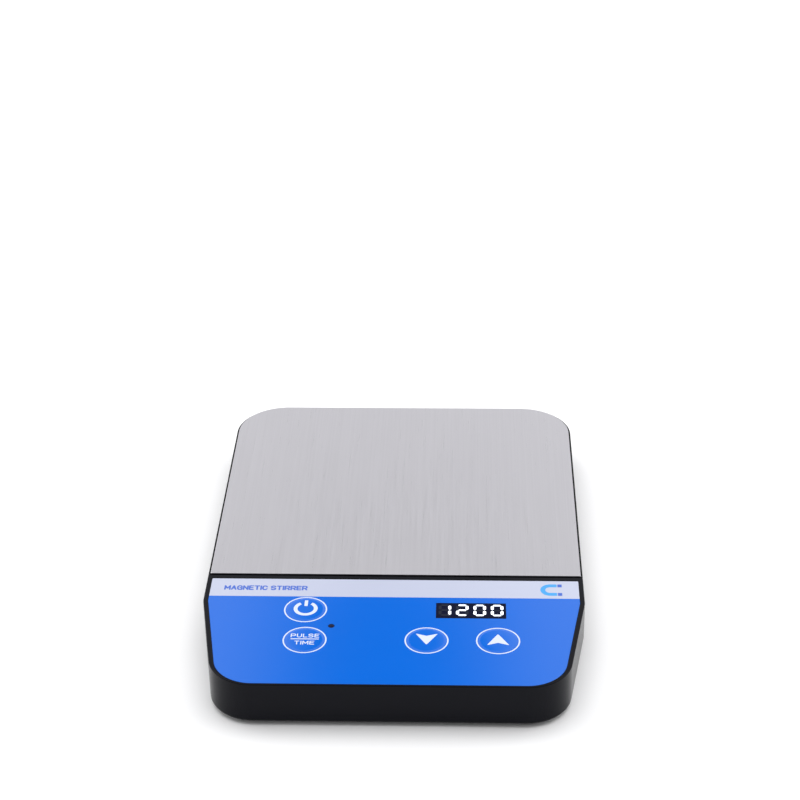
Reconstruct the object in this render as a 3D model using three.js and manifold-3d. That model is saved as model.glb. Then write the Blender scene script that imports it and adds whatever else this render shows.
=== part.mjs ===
// A flat laboratory magnetic stirrer. A thin black case holds a steel stirring plate and, in front
// of it, a control panel with four keys and a speed display. Under the plate a pancake motor turns
// a carrier with two drive magnets.
// Millimetres, +Z up, the panel towards -Y, the origin on the bench under the middle of the case.

import * as THREE from "three";
import { mergeVertices } from "three/addons/utils/BufferGeometryUtils.js";
import Module from "manifold-3d";

const wasm = await Module();
wasm.setup();

// ---------------------------------------------------------------- driving dimensions

// The case, seen from above: parallel sides that taper towards the front.
const CASE_WIDTH = 115;
const CASE_DEPTH = 160;
const FRONT_WIDTH = 101.2;
const TAPER_START_Y = -38.6;
const REAR_CORNER = 17;
const FRONT_CORNER = 13.5;
const TAPER_CORNER = 6;
const WALL = 2;

// Heights of the stack, from the bench upwards.
const FOOT_HEIGHT = 1.2;
const CASE_BOTTOM = FOOT_HEIGHT;
const COVER_TOP = CASE_BOTTOM + 2;
const BOARD_BOTTOM = 4.8;
const BOARD_TOP = BOARD_BOTTOM + 1.6;
const DECK_BOTTOM = 12.2;
const PLATE_SEAT = 13.7;
const PANEL_SEAT = 14;
const OVERLAY_TOP = 14.4;
const CASE_TOP = 14.5;
const PLATE_TOP = 14.9;
const BOTTOM_EDGE = 1;

// The stirring plate and the control panel in the top of the case.
const PLATE_MARGIN = 0.65;
const PLATE_RIM = 0.5;
const PLATE_FRONT_Y = -24.6;
const PLATE_RECESS_FRONT_Y = -25.1;
const PANEL_REAR_Y = -26.8;
const PANEL_SIDE_MARGIN = 1.5;
const PANEL_FRONT_MARGIN = 0.9;
const FIT_GAP = 0.15;

// Keys: where each stands on the panel, and their common sizes.
const KEYS = [
  { name: "power", x: -26.2, y: -42.9 },
  { name: "mode", x: -25.4, y: -58.2 },
  { name: "down", x: 10.3, y: -57.9 },
  { name: "up", x: 31.2, y: -57.8 },
];
const KEY_RADIUS = 6.45;
const KEY_TOP = 14.55;
const KEY_DISC_BOTTOM = 13.9;
const KEY_POCKET_FLOOR = 13.5;
const KEY_POCKET_GAP = 0.4;
const KEY_FILM_GAP = 0.2;
const KEY_STEM_RADIUS = 1.8;
const KEY_STEM_GAP = 0.5;
const KEY_STEM_BOTTOM = 10.85;
const KEY_EDGE = 0.35;

// Display and status light.
const DISPLAY = { x: 23.3, y: -42.8, width: 20.9, depth: 7.8 };
const DISPLAY_LEDGE = 1.1;
const DISPLAY_LEDGE_TOP = 13.2;
const DISPLAY_TOP = 14.35;
const DISPLAY_MODULE = { width: 22, depth: 9.4, top: 11.9 };
const LED = { x: -18, y: -51.1, radius: 1, baseRadius: 1.5, baseTop: 8.4 };

// Feet and fastenings.
const FOOT_RADIUS = 6;
const FOOT_RECESS = 0.6;
const COVER_GAP = 0.3; // around the cover in the case, and around a foot in the cover
const FEET = [[44.5, 66.5], [-44.5, 66.5], [38.5, -67.5], [-38.5, -67.5]];
const CASE_SCREWS = [[32, 71], [-32, 71], [26, -72.5], [-26, -72.5]];
const CASE_SCREW = { radius: 1, headRadius: 2.4, headHeight: 0.9, tip: 8.4 };
const CASE_BOSS_RADIUS = 3;
const BOARD_SCREWS = [[41, -33.5], [-41, -33.5], [41, -62.5], [-41, -62.5]];
const BOARD_SCREW = { radius: 0.8, headRadius: 1.9, headHeight: 1.1, tip: 9.6 };
const BOARD_BOSS_RADIUS = 2.6;
const BOSS_OVERLAP = 0.4;
const BOSS_HOLE_DEPTH = 0.5; // how far a boss's hole runs past the tip of its screw
const SCREW_GAP = 0.1; // around a shank in the boss that it grips
const SCREW_CLEARANCE = 0.2; // around a shank or a head that passes through

// Control board and what is soldered to it.
const BOARD = { left: -44, right: 44, front: -66.5, rear: -30.5, corner: 3 };
const SWITCH = { side: 6, top: 9.9, wellRadius: 1.85, wellFloor: 9.1 };
const PLUNGER = { radius: 1.7, bottom: 9.5, top: 10.8 };
const CONTROLLER = { x: -5, y: -50, side: 9, height: 1.4 };
const MOTOR_CONNECTOR = { x: 0, y: -33.5, width: 12, depth: 5, height: 2.6 };
const POWER_CONNECTOR = { x: 30, y: -33.4, width: 8, depth: 5, height: 4 };

// Power inlet in the rear wall, on the centre line.
const JACK = { width: 9, front: 64, bottom: 3.3, top: 12.1, boreRadius: 3.2, boreFloor: 66.5 };
const JACK_PIN = { radius: 1, tip: 75.7, tipLength: 0.6 };
const WALL_HOLE_RADIUS = 3.4;
const LEAD_RADIUS = 0.8;
const LEAD_SPACING = 2.4;
const LEAD_ROUTE = [
  [0, 63.6, 7.4],
  [0, 62, 7.5],
  [6, 59.4, 7.6],
  [21, 57.2, 6.2],
  [37, 46, 4.7],
  [43, 27, 4.6],
  [43, 4, 4.6],
  [38.5, -16, 5.4],
  [30, -27.5, 8.3],
  [30, -30.5, 8.4],
];
const RIBBON = { width: 8, thickness: 0.4 };
const RIBBON_ROUTE = [[4.2, 5.1], [1, 5.2], [-8, 6.3], [-20, 7.7], [-30.8, 7.7]];

// Pancake motor, around the drive axis under the middle of the plate.
const DRIVE_Y = 27.7;
const MOTOR_BASE_RADIUS = 22;
const MOTOR_BASE_TOP = 4;
const MOTOR_EAR = { reach: 26, radius: 3.2 };
const MOTOR_SCREW = { radius: 0.9, headRadius: 1.9, headHeight: 1.2, tip: 1.8 };
const MOTOR_SCREW_COUNT = 3;
const HOUSING = { inner: 3, outer: 4.2, flange: 6, flangeTop: 4.8, top: 8.4 };
const SLEEVE = { inner: 1.55, outer: 2.9, bottom: 3.4, top: 8.2 };
const STATOR = { radius: 21, hole: 6.3, top: 4.8, tabWidth: 10, tabEnd: 27 };
const COIL = { count: 6, ringRadius: 13.5, inner: 2.2, outer: 6.2, top: 6.8, edge: 0.4 };
const SHAFT = { radius: 1.5, bottom: 3.6, top: 11.2, edge: 0.2 };
const RING_MAGNET = { inner: 8.5, outer: 21, bottom: 7.3, top: 8.8 };
const YOKE = { radius: 22, top: 9.6, hubRadius: 3.2, hubTop: 10.6, bore: 1.55 };
const CARRIER = { radius: 23, top: 10.9, hole: 3.4, lightening: 4, lighteningAt: 14 };
const DRIVE_MAGNET = { radius: 7.5, offset: 13.5, top: 11.7, gap: 0.15 };

const ARC_STEP = THREE.MathUtils.degToRad(15);
const WELD_TOLERANCE = 1e-4;
const THROUGH = 3; // how far a cutting solid runs past the face that it cuts
const ROUND = 32; // sides of a large circle
const MEDIUM = 24; // sides of a middling circle
const SMALL = 16; // sides of a small circle

const FINISHES = {
  blackPlastic: { color: 0x17181b, roughness: 0.45, metalness: 0 },
  steelPlate: { color: 0xc6c4cc, roughness: 0.32, metalness: 1 },
  overlay: { color: 0x1270e6, roughness: 0.4, metalness: 0 },
  window: { color: 0x12131f, roughness: 0.12, metalness: 0 },
  smokedLens: { color: 0x2a2c36, roughness: 0.2, metalness: 0 },
  rubber: { color: 0x26272a, roughness: 0.9, metalness: 0 },
  circuitBoard: { color: 0x1c5a36, roughness: 0.55, metalness: 0 },
  epoxy: { color: 0x1b1c1e, roughness: 0.6, metalness: 0 },
  whiteNylon: { color: 0xe6e2d6, roughness: 0.55, metalness: 0 },
  screwSteel: { color: 0x9a9ca0, roughness: 0.35, metalness: 1 },
  bronze: { color: 0x9a6b3a, roughness: 0.5, metalness: 1 },
  copperWire: { color: 0xb8662e, roughness: 0.4, metalness: 1 },
  ferrite: { color: 0x2d2b2c, roughness: 0.75, metalness: 0.2 },
  nickel: { color: 0xc9c6bd, roughness: 0.22, metalness: 1 },
  redInsulation: { color: 0xa81f1c, roughness: 0.5, metalness: 0 },
  blackInsulation: { color: 0x1d1d1f, roughness: 0.5, metalness: 0 },
  ribbonFilm: { color: 0xb98a3c, roughness: 0.45, metalness: 0 },
};

// ---------------------------------------------------------------- shapes

/** A named mesh with one of the finishes. */
function piece(name, geometry, finish) {
  const mesh = new THREE.Mesh(geometry, new THREE.MeshStandardMaterial(FINISHES[finish]));
  mesh.name = name;
  return mesh;
}

/** Turns a closed geometry into a solid that can be joined and cut. */
function solidOf(geometry) {
  const bare = geometry.clone();
  bare.deleteAttribute("normal");
  bare.deleteAttribute("uv");
  const welded = mergeVertices(bare, WELD_TOLERANCE);
  return new wasm.Manifold(new wasm.Mesh({
    numProp: 3,
    vertProperties: new Float32Array(welded.attributes.position.array),
    triVerts: new Uint32Array(welded.index.array),
  }));
}

/** Turns a solid back into a geometry. */
function geometryOf(solid) {
  const mesh = solid.getMesh();
  const geometry = new THREE.BufferGeometry();
  geometry.setAttribute("position", new THREE.BufferAttribute(mesh.vertProperties, 3));
  geometry.setIndex(new THREE.BufferAttribute(mesh.triVerts, 1));
  geometry.computeVertexNormals();
  return geometry;
}

/** The base geometry with more geometries joined to it and others then cut out of it. */
function carve(base, { add = [], cut = [] }) {
  const joined = add.reduce((solid, extra) => solid.add(solidOf(extra)), solidOf(base));
  return geometryOf(cut.reduce((solid, tool) => solid.subtract(solidOf(tool)), joined));
}

/** A flat outline extruded from one height to another. */
function prism(points, bottom, top) {
  const geometry = new THREE.ExtrudeGeometry(new THREE.Shape(points), {
    depth: top - bottom,
    bevelEnabled: false,
  });
  return geometry.translate(0, 0, bottom);
}

/** A box between two heights, centred on x, y. */
function block(x, y, width, depth, bottom, top) {
  const geometry = new THREE.BoxGeometry(width, depth, top - bottom);
  return geometry.translate(x, y, (bottom + top) / 2);
}

/** A solid of revolution about the vertical through x, y, from [radius, height] pairs. */
function turned(profile, segments, x = 0, y = 0) {
  const points = profile.map(([radius, height]) => new THREE.Vector2(radius, height));
  return new THREE.LatheGeometry(points, segments).rotateX(Math.PI / 2).translate(x, y, 0);
}

/** An upright cylinder. */
function cylinder(x, y, radius, bottom, top, segments = MEDIUM) {
  return turned([[0, bottom], [radius, bottom], [radius, top], [0, top]], segments, x, y);
}

/** An upright tube. */
function ring(x, y, inner, outer, bottom, top, segments) {
  const profile = [[inner, bottom], [outer, bottom], [outer, top], [inner, top], [inner, bottom]];
  return turned(profile, segments, x, y);
}

/** A screw, its head at headBase on the side of headStep and its shank running to tip. */
function screw(size, headBase, headStep) {
  const headEnd = headBase + headStep * size.headHeight;
  const profile = [
    [0, headEnd],
    [size.headRadius, headEnd],
    [size.headRadius, headBase],
    [size.radius, headBase],
    [size.radius, size.tip],
    [0, size.tip],
  ];
  return turned(headStep < 0 ? profile : profile.reverse(), SMALL);
}

/** A convex anticlockwise polygon, moved inwards by inset, with each corner rounded by an arc. */
function roundedPolygon(corners, inset = 0) {
  const count = corners.length;
  const points = [];
  corners.forEach((corner, i) => {
    const before = corners[(i + count - 1) % count];
    const after = corners[(i + 1) % count];
    const headingIn = Math.atan2(corner.y - before.y, corner.x - before.x);
    const headingOut = Math.atan2(after.y - corner.y, after.x - corner.x);
    const turn = THREE.MathUtils.euclideanModulo(headingOut - headingIn, 2 * Math.PI);
    const radius = Math.max(corner.radius - inset, 0);
    const toCentre = (radius + inset) / Math.cos(turn / 2);
    const inwards = headingIn + turn / 2 + Math.PI / 2;
    const centreX = corner.x + toCentre * Math.cos(inwards);
    const centreY = corner.y + toCentre * Math.sin(inwards);
    const steps = radius > 0 ? Math.ceil(turn / ARC_STEP) : 0;
    for (let step = 0; step <= steps; step += 1) {
      const angle = headingIn - Math.PI / 2 + (steps ? (turn * step) / steps : turn / 2);
      const x = centreX + radius * Math.cos(angle);
      const y = centreY + radius * Math.sin(angle);
      points.push(new THREE.Vector2(x, y));
    }
  });
  return points;
}

/** Corners of the right half, from front to rear, followed by their mirror images. */
function mirrored(rightHalf) {
  const leftHalf = rightHalf.map((corner) => ({ ...corner, x: -corner.x })).reverse();
  return [...rightHalf, ...leftHalf];
}

/** Half the case's width at a y in front of the place where the taper starts. */
function taperedHalfWidth(y) {
  const share = (TAPER_START_Y - y) / (TAPER_START_Y + CASE_DEPTH / 2);
  return CASE_WIDTH / 2 - (share * (CASE_WIDTH - FRONT_WIDTH)) / 2;
}

/** The case's outline, moved inwards by inset. */
function caseOutline(inset) {
  const front = -CASE_DEPTH / 2;
  return roundedPolygon(mirrored([
    { x: taperedHalfWidth(front), y: front, radius: FRONT_CORNER },
    { x: CASE_WIDTH / 2, y: TAPER_START_Y, radius: TAPER_CORNER },
    { x: CASE_WIDTH / 2, y: CASE_DEPTH / 2, radius: REAR_CORNER },
  ]), inset);
}

/** The outline of the plate or its recess: margin inside the case, with a straight front edge. */
function plateOutline(margin, frontY) {
  return roundedPolygon(mirrored([
    { x: CASE_WIDTH / 2, y: frontY - margin, radius: 0 },
    { x: CASE_WIDTH / 2, y: CASE_DEPTH / 2, radius: REAR_CORNER },
  ]), margin);
}

/** The outline of the control overlay, or of its recess, which is larger by gap. */
function panelOutline(gap) {
  const inset = PANEL_SIDE_MARGIN - gap;
  const front = -CASE_DEPTH / 2 + PANEL_FRONT_MARGIN - PANEL_SIDE_MARGIN;
  return roundedPolygon(mirrored([
    { x: taperedHalfWidth(front), y: front, radius: FRONT_CORNER },
    { x: CASE_WIDTH / 2, y: TAPER_START_Y, radius: TAPER_CORNER },
    { x: CASE_WIDTH / 2, y: PANEL_REAR_Y + PANEL_SIDE_MARGIN, radius: 0 },
  ]), inset);
}

/** A rectangle of the display's size, larger by grow on each side, as a block. */
function displayBlock(grow, bottom, top) {
  return block(DISPLAY.x, DISPLAY.y, DISPLAY.width + 2 * grow, DISPLAY.depth + 2 * grow, bottom, top);
}

/** A cylinder that lies along Y on the inlet's axis. */
function inletCylinder(radius, front, rear) {
  const geometry = new THREE.CylinderGeometry(radius, radius, rear - front, ROUND);
  return geometry.translate(0, (front + rear) / 2, (JACK.bottom + JACK.top) / 2);
}

// ---------------------------------------------------------------- case

/** The outside of the case: its outline extruded, with the bottom edge broken. */
function caseBlank() {
  const outline = new THREE.Shape(caseOutline(BOTTOM_EDGE));
  const tall = new THREE.ExtrudeGeometry(outline, {
    depth: CASE_TOP - CASE_BOTTOM,
    bevelThickness: BOTTOM_EDGE,
    bevelSize: BOTTOM_EDGE,
    bevelSegments: 2,
  });
  tall.translate(0, 0, CASE_BOTTOM + BOTTOM_EDGE);
  const above = block(0, 0, 2 * CASE_WIDTH, 2 * CASE_DEPTH, CASE_TOP, CASE_TOP + THROUGH);
  return carve(tall, { cut: [above] });
}

/** Bosses that hang from the deck, for the case screws and the board screws. */
function deckBosses() {
  const top = DECK_BOTTOM + BOSS_OVERLAP;
  return [
    ...CASE_SCREWS.map(([x, y]) => cylinder(x, y, CASE_BOSS_RADIUS, COVER_TOP, top, MEDIUM)),
    ...BOARD_SCREWS.map(([x, y]) => cylinder(x, y, BOARD_BOSS_RADIUS, BOARD_TOP, top, MEDIUM)),
  ];
}

/** Everything that is cut out of the case's top and rear wall. */
function caseCuts() {
  const caseHoleTop = CASE_SCREW.tip + BOSS_HOLE_DEPTH;
  const boardHoleTop = BOARD_SCREW.tip + BOSS_HOLE_DEPTH;
  const sky = CASE_TOP + THROUGH;
  return [
    prism(plateOutline(PLATE_RIM, PLATE_RECESS_FRONT_Y), PLATE_SEAT, sky),
    prism(panelOutline(FIT_GAP), PANEL_SEAT, sky),
    ...KEYS.map(({ x, y }) =>
      cylinder(x, y, KEY_RADIUS + KEY_POCKET_GAP, KEY_POCKET_FLOOR, sky, ROUND)),
    ...KEYS.map(({ x, y }) =>
      cylinder(x, y, KEY_STEM_RADIUS + KEY_STEM_GAP, DECK_BOTTOM - 1, sky, SMALL)),
    displayBlock(FIT_GAP, DISPLAY_LEDGE_TOP, sky),
    displayBlock(-DISPLAY_LEDGE, DECK_BOTTOM - 1, sky),
    cylinder(LED.x, LED.y, LED.radius + FIT_GAP, DECK_BOTTOM - 1, sky, SMALL),
    ...CASE_SCREWS.map(([x, y]) =>
      cylinder(x, y, CASE_SCREW.radius + SCREW_GAP, COVER_TOP - 1, caseHoleTop, SMALL)),
    ...BOARD_SCREWS.map(([x, y]) =>
      cylinder(x, y, BOARD_SCREW.radius + SCREW_GAP, BOARD_TOP - 1, boardHoleTop, SMALL)),
    inletCylinder(WALL_HOLE_RADIUS, CASE_DEPTH / 2 - WALL - 1, CASE_DEPTH / 2 + THROUGH),
  ];
}

function upperCase() {
  const cavity = prism(caseOutline(WALL), CASE_BOTTOM - THROUGH, DECK_BOTTOM);
  const shell = carve(caseBlank(), { cut: [cavity] });
  return piece("upper_case", carve(shell, { add: deckBosses(), cut: caseCuts() }), "blackPlastic");
}

function lowerCover() {
  const blank = prism(caseOutline(WALL + COVER_GAP), CASE_BOTTOM, COVER_TOP);
  const headSeat = COVER_TOP - CASE_SCREW.headHeight;
  const headHole = CASE_SCREW.headRadius + SCREW_CLEARANCE;
  const shankHole = CASE_SCREW.radius + SCREW_CLEARANCE;
  const motorHole = MOTOR_SCREW.radius + SCREW_GAP;
  const motorHoleFloor = MOTOR_SCREW.tip - SCREW_GAP;
  const below = CASE_BOTTOM - 1;
  const above = COVER_TOP + 1;
  const cuts = [
    ...FEET.map(([x, y]) => cylinder(x, y, FOOT_RADIUS + COVER_GAP, below, CASE_BOTTOM + FOOT_RECESS)),
    ...CASE_SCREWS.map(([x, y]) => cylinder(x, y, headHole, below, headSeat, SMALL)),
    ...CASE_SCREWS.map(([x, y]) => cylinder(x, y, shankHole, below, above, SMALL)),
    ...motorScrewPlaces().map(([x, y]) =>
      cylinder(x, y + DRIVE_Y, motorHole, motorHoleFloor, above, SMALL)),
  ];
  return piece("lower_cover", carve(blank, { cut: cuts }), "blackPlastic");
}

function rubberFoot(number, [x, y]) {
  const edge = 0.3;
  const profile = [
    [0, 0],
    [FOOT_RADIUS - edge, 0],
    [FOOT_RADIUS, edge],
    [FOOT_RADIUS, CASE_BOTTOM + FOOT_RECESS],
    [0, CASE_BOTTOM + FOOT_RECESS],
  ];
  const foot = piece(`rubber_foot_${number}`, turned(profile, MEDIUM), "rubber");
  foot.position.set(x, y, 0);
  return foot;
}

function caseScrew(number, [x, y]) {
  const headSeat = COVER_TOP - CASE_SCREW.headHeight;
  const part = piece(`case_screw_${number}`, screw(CASE_SCREW, headSeat, -1), "screwSteel");
  part.position.set(x, y, 0);
  return part;
}

function stirringPlate() {
  const outline = plateOutline(PLATE_MARGIN, PLATE_FRONT_Y);
  return piece("stirring_plate", prism(outline, PLATE_SEAT, PLATE_TOP), "steelPlate");
}

// ---------------------------------------------------------------- control panel

function panelOverlay() {
  const below = PANEL_SEAT - THROUGH;
  const above = OVERLAY_TOP + THROUGH;
  const cuts = [
    ...KEYS.map((key) => cylinder(key.x, key.y, KEY_RADIUS + KEY_FILM_GAP, below, above, ROUND)),
    displayBlock(FIT_GAP, below, above),
    cylinder(LED.x, LED.y, LED.radius + FIT_GAP, below, above, SMALL),
  ];
  const film = prism(panelOutline(0), PANEL_SEAT, OVERLAY_TOP);
  return piece("panel_overlay", carve(film, { cut: cuts }), "overlay");
}

function displayWindow() {
  return piece("display_window", displayBlock(0, DISPLAY_LEDGE_TOP, DISPLAY_TOP), "window");
}

/** A raised disc in the overlay, on a stem that reaches down to the switch. */
function key({ name, x, y }) {
  const profile = [
    [0, KEY_STEM_BOTTOM],
    [KEY_STEM_RADIUS, KEY_STEM_BOTTOM],
    [KEY_STEM_RADIUS, KEY_DISC_BOTTOM],
    [KEY_RADIUS, KEY_DISC_BOTTOM],
    [KEY_RADIUS, KEY_TOP - KEY_EDGE / 2],
    [KEY_RADIUS - KEY_EDGE, KEY_TOP],
    [0, KEY_TOP],
  ];
  const part = piece(`${name}_key`, turned(profile, ROUND), "overlay");
  part.position.set(x, y, 0);
  return part;
}

function statusLed() {
  const profile = [
    [0, BOARD_TOP],
    [LED.baseRadius, BOARD_TOP],
    [LED.baseRadius, LED.baseTop],
    [LED.radius, LED.baseTop],
    [LED.radius, OVERLAY_TOP],
    [0, OVERLAY_TOP],
  ];
  const part = piece("status_led", turned(profile, SMALL), "smokedLens");
  part.position.set(LED.x, LED.y, 0);
  return part;
}

// ---------------------------------------------------------------- control board

function mainBoard() {
  const corners = [
    { x: BOARD.right, y: BOARD.front, radius: BOARD.corner },
    { x: BOARD.right, y: BOARD.rear, radius: BOARD.corner },
    { x: BOARD.left, y: BOARD.rear, radius: BOARD.corner },
    { x: BOARD.left, y: BOARD.front, radius: BOARD.corner },
  ];
  const blank = prism(roundedPolygon(corners), BOARD_BOTTOM, BOARD_TOP);
  const holes = BOARD_SCREWS.map(([x, y]) =>
    cylinder(x, y, BOARD_SCREW.radius + SCREW_CLEARANCE, BOARD_BOTTOM - 1, BOARD_TOP + 1, SMALL));
  return piece("main_board", carve(blank, { cut: holes }), "circuitBoard");
}

function boardScrew(number, [x, y]) {
  const part = piece(`board_screw_${number}`, screw(BOARD_SCREW, BOARD_BOTTOM, -1), "screwSteel");
  part.position.set(x, y, 0);
  return part;
}

/** A square push switch with a round well for its plunger. */
function keySwitch({ name, x, y }) {
  const body = block(0, 0, SWITCH.side, SWITCH.side, BOARD_TOP, SWITCH.top);
  const well = cylinder(0, 0, SWITCH.wellRadius, SWITCH.wellFloor, SWITCH.top + 1, MEDIUM);
  const part = piece(`${name}_switch`, carve(body, { cut: [well] }), "epoxy");
  part.position.set(x, y, 0);
  return part;
}

function switchPlunger({ name, x, y }) {
  const geometry = cylinder(0, 0, PLUNGER.radius, PLUNGER.bottom, PLUNGER.top, MEDIUM);
  const part = piece(`${name}_plunger`, geometry, "whiteNylon");
  part.position.set(x, y, 0);
  return part;
}

function displayModule() {
  const { width, depth, top } = DISPLAY_MODULE;
  return piece("display_module", block(DISPLAY.x, DISPLAY.y, width, depth, BOARD_TOP, top), "epoxy");
}

function controllerChip() {
  const { x, y, side, height } = CONTROLLER;
  return piece("controller_chip", block(x, y, side, side, BOARD_TOP, BOARD_TOP + height), "epoxy");
}

function connector(name, { x, y, width, depth, height }) {
  return piece(name, block(x, y, width, depth, BOARD_TOP, BOARD_TOP + height), "whiteNylon");
}

// ---------------------------------------------------------------- power inlet and wiring

function dcJack() {
  const rear = CASE_DEPTH / 2 - WALL - 0.1;
  const middle = (JACK.front + rear) / 2;
  const body = block(0, middle, JACK.width, rear - JACK.front, JACK.bottom, JACK.top);
  const bore = inletCylinder(JACK.boreRadius, JACK.boreFloor, rear + THROUGH);
  return piece("dc_jack", carve(body, { cut: [bore] }), "blackPlastic");
}

/** The jack's centre contact, a round pin with a chamfered tip. */
function dcJackPin() {
  const base = JACK.boreFloor + 0.1;
  const length = JACK_PIN.tip - base;
  const profile = [
    [0, 0],
    [JACK_PIN.radius, 0],
    [JACK_PIN.radius, length - JACK_PIN.tipLength],
    [JACK_PIN.radius / 2, length],
    [0, length],
  ];
  const points = profile.map(([radius, height]) => new THREE.Vector2(radius, height));
  const pin = piece("dc_jack_pin", new THREE.LatheGeometry(points, SMALL), "nickel");
  pin.position.set(0, base, (JACK.bottom + JACK.top) / 2);
  return pin;
}

/** A curve that runs beside another one, at a fixed distance in plan. */
class BesideCurve extends THREE.Curve {
  constructor(middle, distance) {
    super();
    this.middle = middle;
    this.distance = distance;
  }

  getPoint(t, target = new THREE.Vector3()) {
    const tangent = this.middle.getTangent(t);
    const sideways = new THREE.Vector3(-tangent.y, tangent.x, 0).setLength(this.distance);
    return target.copy(this.middle.getPoint(t)).add(sideways);
  }
}

/** One insulated wire of the pair that joins the inlet to the control board. */
function powerLead(name, side, finish) {
  const route = LEAD_ROUTE.map(([x, y, z]) => new THREE.Vector3(x, y, z));
  const middle = new THREE.CatmullRomCurve3(route);
  const section = new THREE.Shape().absarc(0, 0, LEAD_RADIUS, 0, 2 * Math.PI);
  const geometry = new THREE.ExtrudeGeometry(section, {
    steps: 32,
    curveSegments: 3,
    extrudePath: new BesideCurve(middle, (side * LEAD_SPACING) / 2),
  });
  return piece(name, geometry, finish);
}

/** The flat cable from the stator to the control board, bent in the plane of the centre line. */
function motorRibbon() {
  const route = new THREE.SplineCurve(RIBBON_ROUTE.map(([y, z]) => new THREE.Vector2(y, z)));
  const upper = [];
  const lower = [];
  const steps = 14;
  for (let step = 0; step <= steps; step += 1) {
    const middle = route.getPoint(step / steps);
    const tangent = route.getTangent(step / steps);
    const half = new THREE.Vector2(tangent.y, -tangent.x).multiplyScalar(RIBBON.thickness / 2);
    upper.push(middle.clone().add(half));
    lower.unshift(middle.clone().sub(half));
  }
  const outline = new THREE.Shape([...upper, ...lower]);
  const geometry = new THREE.ExtrudeGeometry(outline, { depth: RIBBON.width, bevelEnabled: false });
  // The outline's x is the stirrer's y and its y is the height; the extrusion runs along x.
  geometry.rotateX(Math.PI / 2).rotateZ(Math.PI / 2).translate(-RIBBON.width / 2, 0, 0);
  return piece("motor_ribbon", geometry, "ribbonFilm");
}

// ---------------------------------------------------------------- motor, around its own axis

/** Where the motor's screws stand, from the drive axis: one behind it and two in front. */
function motorScrewPlaces() {
  return Array.from({ length: MOTOR_SCREW_COUNT }, (_, i) => {
    const angle = Math.PI / 2 + (2 * Math.PI * i) / MOTOR_SCREW_COUNT;
    return [MOTOR_EAR.reach * Math.cos(angle), MOTOR_EAR.reach * Math.sin(angle)];
  });
}

/** A steel disc with an ear for each screw. */
function motorBase() {
  const { reach, radius } = MOTOR_EAR;
  const disc = cylinder(0, 0, MOTOR_BASE_RADIUS, COVER_TOP, MOTOR_BASE_TOP, ROUND);
  const ears = motorScrewPlaces().flatMap(([x, y]) => {
    const arm = block(reach / 2, 0, reach, 2 * radius, COVER_TOP, MOTOR_BASE_TOP);
    return [arm.rotateZ(Math.atan2(y, x)), cylinder(x, y, radius, COVER_TOP, MOTOR_BASE_TOP)];
  });
  const below = COVER_TOP - 1;
  const above = MOTOR_BASE_TOP + 1;
  const holes = motorScrewPlaces().map(([x, y]) =>
    cylinder(x, y, MOTOR_SCREW.radius + SCREW_GAP, below, above, SMALL));
  const centre = cylinder(0, 0, HOUSING.outer + SCREW_GAP, below, above);
  return piece("motor_base", carve(disc, { add: ears, cut: [...holes, centre] }), "screwSteel");
}

function motorScrew(number, [x, y]) {
  const part = piece(`motor_screw_${number}`, screw(MOTOR_SCREW, MOTOR_BASE_TOP, 1), "screwSteel");
  part.position.set(x, y, 0);
  return part;
}

/** A flanged bush that stands in the base and holds the sleeve bearing. */
function bearingHousing() {
  const profile = [
    [HOUSING.inner, COVER_TOP],
    [HOUSING.outer, COVER_TOP],
    [HOUSING.outer, MOTOR_BASE_TOP],
    [HOUSING.flange, MOTOR_BASE_TOP],
    [HOUSING.flange, HOUSING.flangeTop],
    [HOUSING.outer, HOUSING.flangeTop],
    [HOUSING.outer, HOUSING.top],
    [HOUSING.inner, HOUSING.top],
    [HOUSING.inner, COVER_TOP],
  ];
  return piece("bearing_housing", turned(profile, MEDIUM), "nickel");
}

function bearingSleeve() {
  const { inner, outer, bottom, top } = SLEEVE;
  return piece("bearing_sleeve", ring(0, 0, inner, outer, bottom, top, MEDIUM), "bronze");
}

/** A round circuit board with a tab towards the front for the ribbon. */
function statorBoard() {
  const disc = cylinder(0, 0, STATOR.radius, MOTOR_BASE_TOP, STATOR.top, ROUND);
  const tab = block(0, -STATOR.tabEnd / 2, STATOR.tabWidth, STATOR.tabEnd, MOTOR_BASE_TOP, STATOR.top);
  const hole = cylinder(0, 0, STATOR.hole, MOTOR_BASE_TOP - 1, STATOR.top + 1);
  return piece("stator_board", carve(disc, { add: [tab], cut: [hole] }), "circuitBoard");
}

function statorCoil(index) {
  const { inner, outer, top, edge } = COIL;
  const bottom = STATOR.top;
  const profile = [
    [inner, bottom],
    [outer, bottom],
    [outer, top - edge],
    [outer - edge, top],
    [inner + edge, top],
    [inner, top - edge],
    [inner, bottom],
  ];
  const coil = piece(`stator_coil_${index + 1}`, turned(profile, MEDIUM), "copperWire");
  const angle = (2 * Math.PI * index) / COIL.count;
  coil.position.set(COIL.ringRadius * Math.cos(angle), COIL.ringRadius * Math.sin(angle), 0);
  return coil;
}

function motorShaft() {
  const { radius, bottom, top, edge } = SHAFT;
  const profile = [
    [0, bottom],
    [radius - edge, bottom],
    [radius, bottom + edge],
    [radius, top - edge],
    [radius - edge, top],
    [0, top],
  ];
  return piece("motor_shaft", turned(profile, MEDIUM), "nickel");
}

function ringMagnet() {
  const { inner, outer, bottom, top } = RING_MAGNET;
  return piece("rotor_ring_magnet", ring(0, 0, inner, outer, bottom, top, ROUND), "ferrite");
}

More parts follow.
